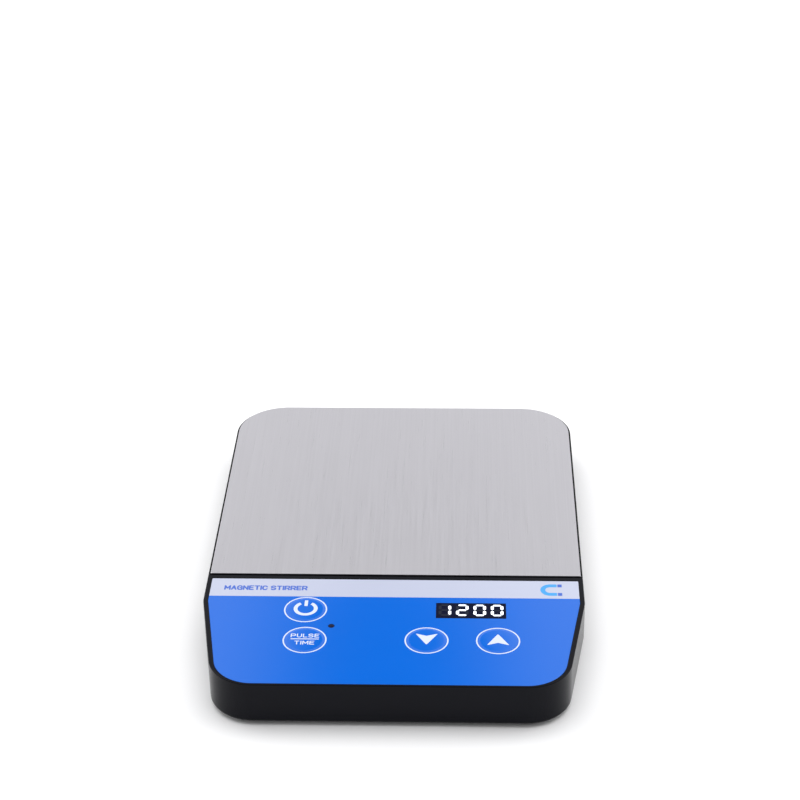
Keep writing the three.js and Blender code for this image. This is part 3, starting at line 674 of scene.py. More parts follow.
def cover_plate(finish):
    """The lower cover, with softened edges, foot recesses and screw seats."""
    gap = 0.3 * MM
    edge = 0.35 * MM

    def outline(inset):
        return case_outline(WALL + gap + inset)

    rings = quarter((edge, cover_low.z), (0, cover_low.z + edge), 4, "inset") + [(0, cover_high.z)]
    cover = mesh_object("cover_plate", loft(levels(outline, rings)), finish)
    below, above = cover_low.z - PAST, cover_high.z + PAST
    head_hole, head_seat = 2.6 * MM, cover_high.z - 0.9 * MM
    shank_hole = 1.2 * MM
    motor_hole, motor_hole_floor = 1 * MM, 1.7 * MM
    cuts = []
    for n in range(1, 5):
        low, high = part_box(f"rubber_foot_{n}")
        outline = circle((low.x + high.x) / 2, (low.y + high.y) / 2, (high.x - low.x) / 2 + gap)
        cuts.append(prism(outline, below, high.z))
    for at in screw_places("case_screw"):
        cuts.append(post(at, head_hole, below, head_seat, 40))
        cuts.append(post(at, shank_hole, below, above, 24))
    for n in range(1, 4):
        cuts.append(post(middle(f"motor_screw_{n}"), motor_hole, motor_hole_floor, above, 24))
    carve(cover, cuts)
    return place(resharpen(cover), "case", "case_plastic", "lower_cover")


def steel_plate(finish):
    """The stirring plate, its upper edge rounded over."""
    def outline(extra):
        return plate_outline(PLATE_MARGIN, plate_low.y, extra)

    edge = quarter((0, plate_high.z - PLATE_FILLET), (PLATE_FILLET, plate_high.z), 5)
    rings = [(0, plate_low.z)] + edge
    bm = loft(levels(outline, rings))
    plate = mesh_object("steel_plate", bm, finish)
    map_across(plate)
    return place(plate, "case", "plate_steel", "stirring_plate")


def rubber_foot(number, finish):
    """A foot with a rounded rim and a shallow dish in its sole."""
    node = f"rubber_foot_{number}"
    low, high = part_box(node)
    radius = (high.x - low.x) / 2
    rim = 0.6 * MM
    dish = 0.35 * MM
    profile = [
        (0, dish),
        (radius * 0.45, dish),
        (radius * 0.62, 0.7 * dish),
        (radius * 0.7, 0),
        *[(radius - inset, height) for inset, height in quarter((rim, 0), (0, rim), 5, "inset")],
        (radius, high.z),
        (0, high.z),
    ]
    at = (low + high) / 2
    foot = mesh_object(f"foot_pad_{number}", turned(profile, at.x, at.y), finish)
    return place(foot, "case", "foot_rubber", node)


def cross_screw(name, node, head_radius, head_down, shank_radius, finish):
    """A pan-head screw with a cross recess. The head is at the bottom where head_down is true."""
    low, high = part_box(node)
    at = (low + high) / 2
    head_height = 1 * MM
    seat = low.z + head_height if head_down else high.z - head_height
    face = low.z if head_down else high.z
    tip = high.z if head_down else low.z
    sign = -1 if head_down else 1
    crown = 0.3 * MM
    pitch = 0.45 * MM
    profile = [
        (0, face),
        (head_radius * 0.55, face - sign * 0.05 * MM),
        (head_radius * 0.88, face - sign * crown * 0.6),
        (head_radius, face - sign * crown * 1.4),
        (head_radius, seat),
        (shank_radius, seat),
    ]
    turns = int((abs(tip - seat) - 0.6 * MM) / pitch)
    for n in range(turns):
        height = seat - sign * (n + 1) * pitch
        profile.append((shank_radius * 0.78, height + sign * pitch / 2))
        profile.append((shank_radius, height))
    profile.append((shank_radius * 0.4, tip))
    profile.append((0, tip))
    part = mesh_object(name, turned(profile, at.x, at.y, 32), finish)
    depth = 0.6 * MM
    slots = []
    for width, length in ((0.28, 1.2), (1.2, 0.28)):
        points = rectangle(at.x, at.y, head_radius * width, head_radius * length)
        ends = sorted((face + sign * 1 * MM, face - sign * depth))
        slots.append(prism(points, *ends))
    carve(part, slots)
    return place(resharpen(part, 30), "case", "screw_steel", node)


# --- control panel

def dome_height(radius, distance):
    """How far the film stands above the panel, at a distance from a key's centre."""
    start = radius - RING_WIDTH
    share = min(max((start - distance) / DOME_SLOPE, 0), 1)
    return DOME_HEIGHT * share * share * (3 - 2 * share)


def control_film(blue, pale):
    """The printed film: pale at the rear, blue in front, with openings for keys and display."""
    edge = quarter((0, FILM_TOP - OVERLAY_EDGE), (OVERLAY_EDGE, FILM_TOP), 3)
    rings = [(0, overlay_low.z)] + edge
    film = mesh_object("control_film", loft(levels(panel_outline, rings)), blue)
    film.data.materials.append(pale)
    below, above = overlay_low.z - PAST, FILM_TOP + PAST
    pane_gap, light_hole = 0.02 * MM, 1 * MM
    cuts = [post(middle(f"{key}_key"), key_radius(key) + SKIN_MARGIN, below, above, 96)
            for key in KEY_NAMES]
    cuts.append(prism(window_outline(pane_gap), below, above))
    cuts.append(post(middle("status_led"), light_hole, below, above, 32))
    carve(film, cuts)
    bm = bmesh.new()
    bm.from_mesh(film.data)
    everything = bm.verts[:] + bm.edges[:] + bm.faces[:]
    bmesh.ops.bisect_plane(bm, geom=everything, plane_co=(0, STRIP_FRONT_Y, 0), plane_no=(0, 1, 0))
    for face in bm.faces:
        face.material_index = int(face.calc_center_median().y > STRIP_FRONT_Y)
    bm.to_mesh(film.data)
    bm.free()
    return place(resharpen(film), "case", "overlay_film", "panel_overlay")


def key_skin(key, blue, ink):
    """The part of the film over a key: a raised disc inside a printed ring.
    """
    at = middle(f"{key}_key")
    radius = key_radius(key)
    top = overlay_high.z
    bottom = overlay_low.z + 0.05 * MM
    outer = radius + SKIN_MARGIN
    slope_steps = 8
    slope = [radius - RING_WIDTH - DOME_SLOPE * n / slope_steps for n in range(slope_steps + 1)]
    distances = [outer, radius, *slope, radius * 0.4]
    profile = [(0, bottom), (outer, bottom)]
    profile += [(distance, top + dome_height(radius, distance)) for distance in distances]
    profile.append((0, top + DOME_HEIGHT))
    bm = turned(profile, at.x, at.y, 96)
    for face in bm.faces:
        centre = face.calc_center_median()
        distance = math.hypot(centre.x - at.x, centre.y - at.y)
        printed = radius - RING_WIDTH < distance < radius and centre.z > bottom + 0.1 * MM
        face.material_index = int(printed)
    skin = mesh_object(f"{key}_key_skin", bm, blue)
    skin.data.materials.append(ink)
    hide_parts(f"{key}_key")
    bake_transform(skin)
    return skin


def key_pusher(key, finish):
    """The pusher under the film: a disc with a stem that reaches the switch."""
    low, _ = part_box(f"{key}_key")
    at = middle(f"{key}_key")
    disc = key_radius(key) - 0.3 * MM
    stem = 1.8 * MM
    disc_bottom, disc_top = 13.9 * MM, overlay_low.z + 0.02 * MM
    profile = [
        (0, low.z),
        (stem - 0.3 * MM, low.z),
        (stem, low.z + 0.3 * MM),
        (stem, disc_bottom - 0.3 * MM),
        (stem + 0.3 * MM, disc_bottom),
        (disc, disc_bottom),
        (disc, disc_top),
        (0, disc_top),
    ]
    pusher = mesh_object(f"{key}_key_pusher", turned(profile, at.x, at.y), finish)
    return place(pusher, f"{key}_key", "overlay_film")


def inlay(name, outlines, height, body, slot, finish, thickness=INK):
    """Flat printed shapes, each a list of x, y points, standing a hair above a height."""
    bm = bmesh.new()
    for points in outlines:
        lower = [bm.verts.new((x, y, height - BURIED)) for x, y in points]
        upper = [bm.verts.new((x, y, height + thickness)) for x, y in points]
        for i in range(len(points)):
            bm.faces.new((lower[i - 1], lower[i], upper[i], upper[i - 1]))
        bm.faces.new(reversed(lower))
        bm.faces.new(upper)
    return place(mesh_object(name, bm, finish), body, slot)


def arc_band(x, y, inner, outer, start, sweep, steps=48):
    """A band along an arc, with straight ends. Angles in degrees."""
    angles = [math.radians(start + sweep * n / steps) for n in range(steps + 1)]
    points = [(x + outer * math.cos(a), y + outer * math.sin(a)) for a in angles]
    points += [(x + inner * math.cos(a), y + inner * math.sin(a)) for a in reversed(angles)]
    return points


def power_symbol(finish):
    """A broken ring with a bar in its gap."""
    at = middle("power_key")
    outer, stroke = 3.6 * MM, 1.15 * MM
    centre_y = at.y + 0.35 * MM
    gap = 64
    ring = arc_band(at.x, centre_y, outer - stroke, outer, 90 + gap / 2, 360 - gap)
    bar = rectangle(at.x, centre_y + 2.75 * MM, 1 * MM, 2.9 * MM, 0.12 * MM)
    return inlay("power_symbol", [ring, bar], KEY_FACE, "power_key", "overlay_film", finish)


def arrow_symbol(key, direction, finish):
    """A notched arrowhead that points to the rear (1) or to the front (-1)."""
    at = middle(f"{key}_key")
    half, height, notch = 3.3 * MM, 5.5 * MM, 1.15 * MM
    tip_round, corner_round = 0.6 * MM, 0.5 * MM
    rear_shift = 0.45 * MM
    tip = (0, height / 2, tip_round)
    left, right = (-half, -height / 2, corner_round), (half, -height / 2, corner_round)
    inner = (0, -height / 2 + notch)
    points = arrow_outline(tip, left, inner, right)
    placed = [(at.x + direction * x, at.y + rear_shift + direction * y) for x, y in points]
    return inlay(f"{key}_arrow", [placed], KEY_FACE, f"{key}_key", "overlay_film", finish)


def arrow_outline(tip, left, inner, right):
    """An arrowhead's outline: three rounded corners and a notch in the base."""
    def rounded(before, corner, after):
        x, y, radius = corner
        towards_before = (Vector(before[:2]) - Vector((x, y))).normalized()
        towards_after = (Vector(after[:2]) - Vector((x, y))).normalized()
        first = Vector((x, y)) + towards_before * radius
        last = Vector((x, y)) + towards_after * radius
        steps = 5
        curve = []
        for n in range(steps + 1):
            t = n / steps
            point = first * (1 - t) ** 2 + Vector((x, y)) * 2 * t * (1 - t) + last * t ** 2
            curve.append((point.x, point.y))
        return curve

    return [*rounded(left, tip, right), *rounded(tip, right, inner), inner,
            *rounded(inner, left, tip)]


# Capital letters as strokes on a grid 6 high.
BOWL = [(0, 0), (0, 6), (2.9, 6), (4, 5.1), (4, 3.5), (2.9, 2.6), (0, 2.6)]
LETTERS = {
    "A": [[(0, 0), (2, 6), (4, 0)], [(0.7, 2), (3.3, 2)]],
    "C": [[(4, 4.6), (2.9, 6), (1.1, 6), (0, 4.6), (0, 1.4), (1.1, 0), (2.9, 0), (4, 1.4)]],
    "E": [[(3.6, 6), (0, 6), (0, 0), (3.6, 0)], [(0, 3), (3.1, 3)]],
    "G": [[(4, 4.6), (2.9, 6), (1.1, 6), (0, 4.6), (0, 1.4), (1.1, 0), (4, 0), (4, 2.8),
           (2.3, 2.8)]],
    "I": [[(0, 0), (0, 6)]],
    "L": [[(0, 6), (0, 0), (3.3, 0)]],
    "M": [[(0, 0), (0, 6), (2.4, 1.8), (4.8, 6), (4.8, 0)]],
    "N": [[(0, 0), (0, 6), (4, 0), (4, 6)]],
    "P": [BOWL],
    "R": [BOWL, [(2.2, 2.6), (4, 0)]],
    "S": [[(3.9, 4.9), (2.9, 6), (1.1, 6), (0, 5.1), (0, 3.9), (1.1, 3.2), (2.9, 2.8), (4, 2.1),
           (4, 0.9), (2.9, 0), (1.1, 0), (0, 1.1)]],
    "T": [[(0, 6), (4, 6)], [(2, 6), (2, 0)]],
    "U": [[(0, 6), (0, 1.4), (1.1, 0), (2.9, 0), (4, 1.4), (4, 6)]],
}
LETTER_HEIGHT = 6
LETTER_GAP = 1.9
WORD_GAP = 2.6


def bar_outline(start, end, width):
    """A bar with round ends from one point to another."""
    heading = math.atan2(end[1] - start[1], end[0] - start[0])
    half_turn = [math.pi * n / 4 - math.pi / 2 for n in range(5)]
    far = [(end[0] + width / 2 * math.cos(heading + a), end[1] + width / 2 * math.sin(heading + a))
           for a in half_turn]
    near = [(start[0] - width / 2 * math.cos(heading + a),
             start[1] - width / 2 * math.sin(heading + a))
            for a in half_turn]
    return far + near


def lettering(name, words, x, y, width, height, stroke, base, body, finish):
    """Capital letters printed flat, centred on x, y and fitted to a width and a height."""
    pen = 0
    lines = []
    for letter in words:
        if letter == " ":
            pen += WORD_GAP
            continue
        strokes = LETTERS[letter]
        lines += [[(pen + px, py) for px, py in points] for points in strokes]
        pen += max(px for points in strokes for px, _ in points) + LETTER_GAP
    grid_width = pen - LETTER_GAP
    across = (width - stroke) / grid_width
    up = (height - stroke) / LETTER_HEIGHT
    bars = []
    for points in lines:
        placed = [(x + (px - grid_width / 2) * across, y + (py - LETTER_HEIGHT / 2) * up)
                  for px, py in points]
        bars += [bar_outline(start, end, stroke) for start, end in zip(placed, placed[1:])]
    first = prism(bars[0], base - BURIED, base + INK)
    word = inlay(name, bars[1:], base, body, "overlay_film", finish)
    return resharpen(carve(word, [first], "UNION", merge_overlaps=True))


def mode_symbol(finish):
    """Two words, one above the other, with a line between them."""
    at = middle("mode_key")
    words = (("pulse", 1.95 * MM, 8.4 * MM), ("time", -1.55 * MM, 5.9 * MM))
    for word, rise, width in words:
        lettering(f"mode_word_{word}", word.upper(), at.x, at.y + rise, width, MODE_CAP_HEIGHT,
                  MODE_STROKE, KEY_FACE, "mode_key", finish)
    line = rectangle(at.x, at.y + 0.3 * MM, 8.3 * MM, 0.42 * MM)
    inlay("mode_line", [line], KEY_FACE, "mode_key", "overlay_film", finish)


def magnet_symbol(finish, tip_finish):
    """A small horseshoe magnet at the right end of the pale strip."""
    x, y = MAGNET_AT
    outer, inner, leg, tip = 3 * MM, 1.5 * MM, 2 * MM, 1.3 * MM
    tip_gap = 0.25 * MM
    bend_x = x - 0.9 * MM
    bend = arc_band(bend_x, y, inner, outer, 90, 180, 24)
    bars, tips = [], []
    for side in (1, -1):
        centre_y = y + side * (outer + inner) / 2
        bars.append(rectangle(bend_x + leg / 2, centre_y, leg, outer - inner))
        tips.append(rectangle(bend_x + leg + tip / 2 + tip_gap, centre_y, tip, outer - inner))
    for name, shapes, ink in (("bend", [bend], finish), ("legs", bars, finish),
                              ("tips", tips, tip_finish)):
        inlay(f"magnet_{name}", shapes, FILM_TOP, "case", "overlay_film", ink)


def display_pane(finish):
    """The dark pane over the display, set flush in the film."""
    centre = middle("display_window")
    width, depth = window_high.x - window_low.x, window_high.y - window_low.y
    corner = 0.4 * MM
    edge = 0.05 * MM

    def outline(inset):
        return rectangle(centre.x, centre.y, width, depth, corner, inset)

    rings = [(0, window_low.z)] + quarter((0, FILM_TOP - edge), (edge, FILM_TOP), 2)
    pane = mesh_object("display_pane", loft(levels(outline, rings)), finish)
    return place(pane, "case", "window", "display_window")


SEGMENTS = {
    "a": (0, 2, "flat"), "b": (1, 1, "upright"), "c": (1, -1, "upright"), "d": (0, -2, "flat"),
    "e": (-1, -1, "upright"), "f": (-1, 1, "upright"), "g": (0, 0, "flat"),
}
LIT = {"0": "abcdef", "1": "bc", "2": "abged"}


def digit_x(centre_x, n):
    """Where the nth digit of the display stands."""
    return centre_x + (n - (len(SPEED) - 1) / 2) * DIGIT_PITCH


def segment_outline(x, y, lie, length):
    """A bar with pointed ends, centred on x, y."""
    half = length / 2
    side = (FLAT_SEGMENT if lie == "flat" else UPRIGHT_SEGMENT) / 2
    shoulder = half - side
    near = [(-half, 0), (-shoulder, -side), (shoulder, -side)]
    bar = near + [(half, 0), (shoulder, side), (-shoulder, side)]
    if lie == "flat":
        return [(x + along, y + aside) for along, aside in bar]
    return [(x - aside, y + along) for along, aside in bar]


def display_digits(lit_finish, dark_finish):
    """Four seven-segment digits that show the speed."""
    centre = middle("display_window")
    column = (DIGIT_WIDTH - UPRIGHT_SEGMENT) / 2
    row = (DIGIT_HEIGHT - FLAT_SEGMENT) / 4
    lengths = {"flat": 2 * column - SEGMENT_GAP, "upright": 2 * row - SEGMENT_GAP}
    for n, digit in enumerate(SPEED):
        x = digit_x(centre.x, n)
        y = centre.y + DIGIT_REAR_SHIFT
        lit, dark = [], []
        for letter, (across, up, lie) in SEGMENTS.items():
            shape = segment_outline(x + across * column, y + up * row, lie, lengths[lie])
            (lit if letter in LIT[digit] else dark).append(shape)
        inlay(f"digit_{n + 1}_lit", lit, FILM_TOP, "case", "window", lit_finish)
        inlay(f"digit_{n + 1}_dark", dark, FILM_TOP, "case", "window", dark_finish, INK / 2)


def status_lens(finish):
    """The status light: a small lens, level with the film, on its base on the board."""
    at = middle("status_led")
    radius, base_radius, base_top = 0.95 * MM, 1.5 * MM, 8.4 * MM
    rise = 0.12 * MM
    profile = [(0, led_low.z), (base_radius, led_low.z), (base_radius, base_top),
               (radius, base_top)]
    profile += domed(radius, FILM_TOP - rise, rise)
    lens = mesh_object("status_lens", turned(profile, at.x, at.y, 40), finish)
    return place(lens, "case", "led_lens", "status_led")


# --- inlet

def inlet_body(finish, contact):
    """The power inlet: a moulded block with a chamfered bore and a metal lining."""
    low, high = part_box("dc_jack")
    pin_low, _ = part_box("dc_jack_pin")
    edge = 0.3 * MM
    centre_z = (low.z + high.z) / 2
    outline = rectangle(0, 0, high.x - low.x, high.z - low.z, 0.8 * MM)
    rings = []
    for inset, depth in ((edge, 0), (0, edge), (0, high.y - low.y - edge), (edge, high.y - low.y)):
        share_x = 1 - 2 * inset / (high.x - low.x)
        share_z = 1 - 2 * inset / (high.z - low.z)
        rings.append([(x * share_x, low.y + depth, centre_z + y * share_z) for x, y in outline])
    body = mesh_object("inlet_body", loft(rings), finish)
    bore = 3.2 * MM
    floor = pin_low.y - 0.1 * MM
    carve(body, [
        inlet_cylinder(bore, floor, high.y + PAST),
        inlet_cylinder(bore, high.y - edge, high.y, bore + edge),
    ])
    place(resharpen(body), "case", "jack_plastic", "dc_jack")
    inner, outer = bore - 0.25 * MM, bore - 0.03 * MM
    start, end = 0.2 * MM, 8.5 * MM
    lining = along_inlet([(inner, start), (outer, start), (outer, end), (inner, end)], floor)
    place(mesh_object("inlet_lining", lining, contact), "case", "jack_contact")


def inlet_pin(finish):
    """The inlet's centre pin, with a domed tip."""
    low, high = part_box("dc_jack_pin")
    radius = (high.x - low.x) / 2
    length = high.y - low.y
    rise = 0.7 * MM
    pin = along_inlet([(0, 0), (radius, 0), *domed(radius, length - rise, rise)], low.y, 32)
    return place(mesh_object("inlet_pin", pin, finish), "case", "jack_contact", "dc_jack_pin")


# --- control board

def rounded_ends(bottom, top, edge, steps):
    """(inset, height) levels of a body that is rounded at its foot and its crown."""
    foot = quarter((edge, bottom), (0, bottom + edge), steps, "inset")
    return foot + quarter((0, top - edge), (edge, top), steps)


def soft_block(name, low, high, edge, finish):
    """A block between two corners with rounded uprights and softened edges."""
    centre = (low + high) / 2
    corner = 2 * edge

    def outline(inset):
        return rectangle(centre.x, centre.y, high.x - low.x, high.y - low.y, corner, inset)

    rings = rounded_ends(low.z, high.z, edge, 3)
    return mesh_object(name, loft(levels(outline, rings)), finish)


def row(start, end, count):
    """Evenly spaced values from start to end."""
    return [start + (end - start) * n / (count - 1) for n in range(count)]


def chip(epoxy, leads):
    """The controller: an epoxy body with bent leads on all four sides."""
    low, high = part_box("controller_chip")
    reach = 0.7 * MM
    lift = Vector((reach, reach, 0.12 * MM))
    body = soft_block("chip_body", low + lift, high - Vector((reach, reach, 0)), 0.1 * MM, epoxy)
    dot = high - Vector((2 * MM, 2 * MM, 0))
    carve(body, [post(dot, 0.45 * MM, high.z - 0.1 * MM, high.z + PAST, 24)])
    place(resharpen(body), "case", "chip_epoxy", "controller_chip")
    centre = (low + high) / 2
    half = (high.x - low.x) / 2
    knee = low.z + 0.75 * MM
    foot = low.z + 0.02 * MM
    bend = [
        (half - reach - 0.1 * MM, knee),
        (half - 0.5 * MM, knee),
        (half - 0.35 * MM, foot),
        (half, foot),
        (half, foot + 0.15 * MM),
        (half - 0.24 * MM, foot + 0.15 * MM),
        (half - 0.4 * MM, knee + 0.15 * MM),
        (half - reach - 0.1 * MM, knee + 0.15 * MM),
    ]
    bm = bmesh.new()
    for side in range(4):
        turn = Matrix.Rotation(math.pi / 2 * side, 3, "Z")
        for along in row(-3 * MM, 3 * MM, 8):
            ends = []
            for edge in (along - 0.15 * MM, along + 0.15 * MM):
                points = [turn @ Vector((reached, edge, 0)) for reached, _ in bend]
                ends.append([bm.verts.new((centre.x + point.x, centre.y + point.y, height))
                             for point, (_, height) in zip(points, bend)])
            for i in range(len(bend)):
                bm.faces.new((ends[0][i - 1], ends[0][i], ends[1][i], ends[1][i - 1]))
            bm.faces.new(ends[0])
            bm.faces.new(ends[1])
    place(mesh_object("chip_leads", bm, leads), "case", "jack_contact")


def key_switch(key, epoxy, metal):
    """A push switch: an epoxy body under a metal frame with four rivets."""
    low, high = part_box(f"{key}_switch")
    at = (low + high) / 2
    frame_bottom = high.z - 0.35 * MM
    well = 1.85 * MM
    body = soft_block(f"{key}_switch_body", low, Vector((high.x, high.y, frame_bottom)), 0.15 * MM,
                      epoxy)
    carve(body, [post(at, well, high.z - 0.8 * MM, high.z + PAST, 40)])
    place(resharpen(body), "case", "chip_epoxy", f"{key}_switch")
    inset = Vector((0.1 * MM, 0.1 * MM, 0))
    low_corner = Vector((low.x, low.y, frame_bottom)) + inset
    cover = soft_block(f"{key}_switch_frame", low_corner, high - inset, 0.08 * MM, metal)
    carve(cover, [post(at, well, low.z, high.z + PAST, 40)])
    spread_out = 2.3 * MM
    rivet = [
        (0, frame_bottom),
        (0.45 * MM, frame_bottom),
        (0.45 * MM, high.z - 0.02 * MM),
        (0.3 * MM, high.z + 0.1 * MM),
        (0, high.z + 0.12 * MM),
    ]
    rivets = []
    for x in (-spread_out, spread_out):
        for y in (-spread_out, spread_out):
            rivets.append(turned(rivet, at.x + x, at.y + y, 20))
    carve(cover, rivets, "UNION")
    place(resharpen(cover), "case", "jack_contact")


def switch_plunger(key, finish):
    """The switch's plunger, with a rounded tip."""
    low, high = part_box(f"{key}_plunger")
    at = (low + high) / 2
    radius = (high.x - low.x) / 2
    edge = 0.25 * MM
    crown = quarter((0, high.z - edge), (edge, high.z), 4)
    rim = [(radius - inset, height) for inset, height in crown]
    profile = [(0, low.z), (radius, low.z), *rim, (0, high.z)]
    plunger = mesh_object(f"{key}_plunger_cap", turned(profile, at.x, at.y), finish)
    place(plunger, f"{key}_key", "white_nylon", f"{key}_plunger")


def display_block(body_finish, cell_finish):
    """The display module: a dark frame with a pale cell under each digit."""
    low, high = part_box("display_module")
    body = soft_block("display_frame", low, high, 0.2 * MM, body_finish)
    centre = (low + high) / 2
    floor = high.z - 0.4 * MM
    width, depth, corner = 4.4 * MM, 7 * MM, 0.4 * MM
    cells = [rectangle(digit_x(centre.x, n), centre.y, width, depth, corner)
             for n in range(len(SPEED))]
    carve(body, [prism(points, floor, high.z + PAST) for points in cells])
    place(resharpen(body), "case", "display_body", "display_module")
    inlay("display_cells", cells, floor, "case", "display_body", cell_finish)


def board_connector(name, ways, body_finish, contact_finish):
    """A connector with a row of slots in its top and a contact in each."""
    low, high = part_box(name)
    centre = (low + high) / 2
    body = soft_block(f"{name}_body", low, high, 0.2 * MM, body_finish)
    span = (high.x - low.x) * (ways - 1) / (ways + 1)
    pitch = span / (ways - 1)
    places = row(centre.x - span / 2, centre.x + span / 2, ways)
    depth = (high.y - low.y) * 0.5
    floor = high.z - 1 * MM
    slots = [rectangle(x, low.y + depth / 2 + 0.5 * MM, pitch * 0.6, depth) for x in places]
    carve(body, [prism(points, floor, high.z + PAST) for points in slots])
    place(resharpen(body), "case", "white_nylon", name)
    blades = [rectangle(x, low.y + depth / 2 + 0.5 * MM, pitch * 0.35, depth * 0.7) for x in places]
    inlay(f"{name}_contacts", blades, floor, "case", "jack_contact", contact_finish, 0.4 * MM)


# --- motor

def motor_turned(name, node, profile, body, slot, finish, count=72):
    """A turned part on the motor's axis that stands for a CAD node."""
    at = middle("motor_shaft")
    part = mesh_object(name, turned(profile, at.x, at.y, count), finish)
    return place(part, body, slot, node)


def band(inner, outer, bottom, top, edge):
    """A ring's closed profile with chamfered edges."""
    return [
        (inner, bottom + edge), (inner + edge, bottom),
        (outer - edge, bottom), (outer, bottom + edge),
        (outer, top - edge), (outer - edge, top), (inner + edge, top), (inner, top - edge),
    ]


def stator_coil(number, finish):
    """A wound coil: layers of wire that bulge a little at the side."""
    node = f"stator_coil_{number}"
    low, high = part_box(node)
    at = (low + high) / 2
    outer = (high.x - low.x) / 2
    inner = 2.2 * MM
    layers = 6
    wire = (high.z - low.z) / layers
    turns = round((outer - inner) / wire) - 1
    profile = []
    for n in range(layers):
        base = low.z + n * wire
        profile += [(outer - 0.12 * MM, base + 0.05 * wire), (outer, base + 0.5 * wire)]
    for n in range(turns):
        start = outer - 0.12 * MM - n * wire
        profile += [(start - 0.05 * wire, high.z - 0.1 * MM), (start - 0.5 * wire, high.z)]
    profile += [(inner + 0.1 * MM, high.z - 0.1 * MM), (inner, high.z - 0.3 * MM), (inner, low.z)]
    coil = mesh_object(f"wound_coil_{number}", turned(profile, at.x, at.y, 40), finish, 80)
    place(coil, "case", "coil_copper", node)


def drive_magnet(number, finish):
    """A plated disc magnet with rounded edges."""
    node = f"drive_magnet_{number}"
    low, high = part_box(node)
    at = (low + high) / 2
    radius = (high.x - low.x) / 2
    edge = 0.35 * MM
    rim = [(radius - inset, height) for inset, height in rounded_ends(low.z, high.z, edge, 4)]
    profile = [(0, low.z), *rim, (0, high.z)]
    disc = mesh_object(f"disc_magnet_{number}", turned(profile, at.x, at.y, 64), finish)
    place(disc, "rotor", "magnet_nickel", node)


def motor(materials):
    """The turned parts of the pancake motor, its coils and its magnets."""
    edge = 0.12 * MM
    shaft_low, shaft_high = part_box("motor_shaft")
    shaft = 1.5 * MM
    motor_turned("spindle", "motor_shaft", [
        (0, shaft_low.z), (shaft - 2 * edge, shaft_low.z), (shaft, shaft_low.z + 2 * edge),
        (shaft, shaft_high.z - 2 * edge), (shaft - 2 * edge, shaft_high.z), (0, shaft_high.z),
    ], "rotor", "bearing_steel", materials["nickel"], 48)
    low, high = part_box("rotor_ring_magnet")
    motor_turned("ring_magnet", "rotor_ring_magnet",
                 band(8.5 * MM, high.x, low.z, high.z, 2 * edge),
                 "rotor", "ferrite", materials["ferrite"])
    low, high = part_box("bearing_sleeve")
    motor_turned("sleeve", "bearing_sleeve",
                 band(1.55 * MM, high.x, low.z, high.z, 2 * edge), "case", "bearing_bronze",
                 materials["bronze"])
    for number in range(1, 7):
        stator_coil(number, materials["copper"])
    for number in range(1, 3):
        drive_magnet(number, materials["nickel"])


def board(materials):
    """The parts that are soldered to the main board."""
    chip(materials["epoxy"], materials["nickel"])
    display_block(materials["epoxy"], materials["nylon"])
    board_connector("motor_connector", 8, materials["nylon"], materials["nickel"])
    board_connector("power_connector", 2, materials["nylon"], materials["nickel"])
    for key in KEY_NAMES:
        key_switch(key, materials["epoxy"], materials["nickel"])
        switch_plunger(key, materials["nylon"])


# --- carried-over nodes

NODE_FINISHES = {
    "main_board": "board",
    "stator_board": "board",
    "motor_ribbon": "ribbon",
    "power_lead_positive": "red",
    "power_lead_negative": "black",
    "motor_base": "sheet_steel",
    "rotor_yoke": "sheet_steel",
    "bearing_housing": "nickel",
    "magnet_carrier": "nylon",
}
SOFTENED = ("main_board", "stator_board", "motor_base", "rotor_yoke", "bearing_housing",
            "magnet_carrier")


def finish_nodes(materials):
    """Gives each CAD node that is still shown its own finish, and breaks the edges of the softened
    ones.
    """
    for name, finish in NODE_FINISHES.items():
        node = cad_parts[name]
        node.data.materials.clear()
        node.data.materials.append(materials[finish])
        if finish == "sheet_steel":
            map_across(node)
        if name in SOFTENED:
            bevel = node.modifiers.new("softened", "BEVEL")
            bevel.width = 0.08 * MM
            bevel.segments = 2
            bevel.angle_limit = math.radians(40)


# --- stage

def camera():
    """The camera, from its place, pitch, yaw and roll."""
    forward = Vector((
        math.sin(CAMERA_YAW) * math.cos(CAMERA_PITCH),
        math.cos(CAMERA_YAW) * math.cos(CAMERA_PITCH),
        -math.sin(CAMERA_PITCH),
    ))
    right = Vector((math.cos(CAMERA_YAW), -math.sin(CAMERA_YAW), 0))
    up = right.cross(forward)
    rolled_right = math.cos(CAMERA_ROLL) * right + math.sin(CAMERA_ROLL) * up
    rolled_up = math.cos(CAMERA_ROLL) * up - math.sin(CAMERA_ROLL) * right
    turn = Matrix((rolled_right, rolled_up, -forward)).transposed().to_4x4()
    data = bpy.data.cameras.new("camera")
    data.lens = CAMERA_LENS
    data.sensor_width = CAMERA_SENSOR
    data.clip_start = 0.01
    data.clip_end = 50
    eye = bpy.data.objects.new("camera", data)
    eye.matrix_world = Matrix.Translation(CAMERA_AT) @ turn
    bpy.context.scene.collection.objects.link(eye)
    bpy.context.scene.camera = eye


def soft_box(name, at, width, height, power):
    """A rectangular white light at a place, turned towards the origin."""
    data = bpy.data.lights.new(name, "AREA")
    data.shape = "RECTANGLE"
    data.size, data.size_y = width, height
    data.energy = power
    lamp = bpy.data.objects.new(name, data)
    lamp.location = at
    lamp.rotation_euler = (-Vector(at)).to_track_quat("-Z", "Y").to_euler()
    bpy.context.scene.collection.objects.link(lamp)
    return lamp


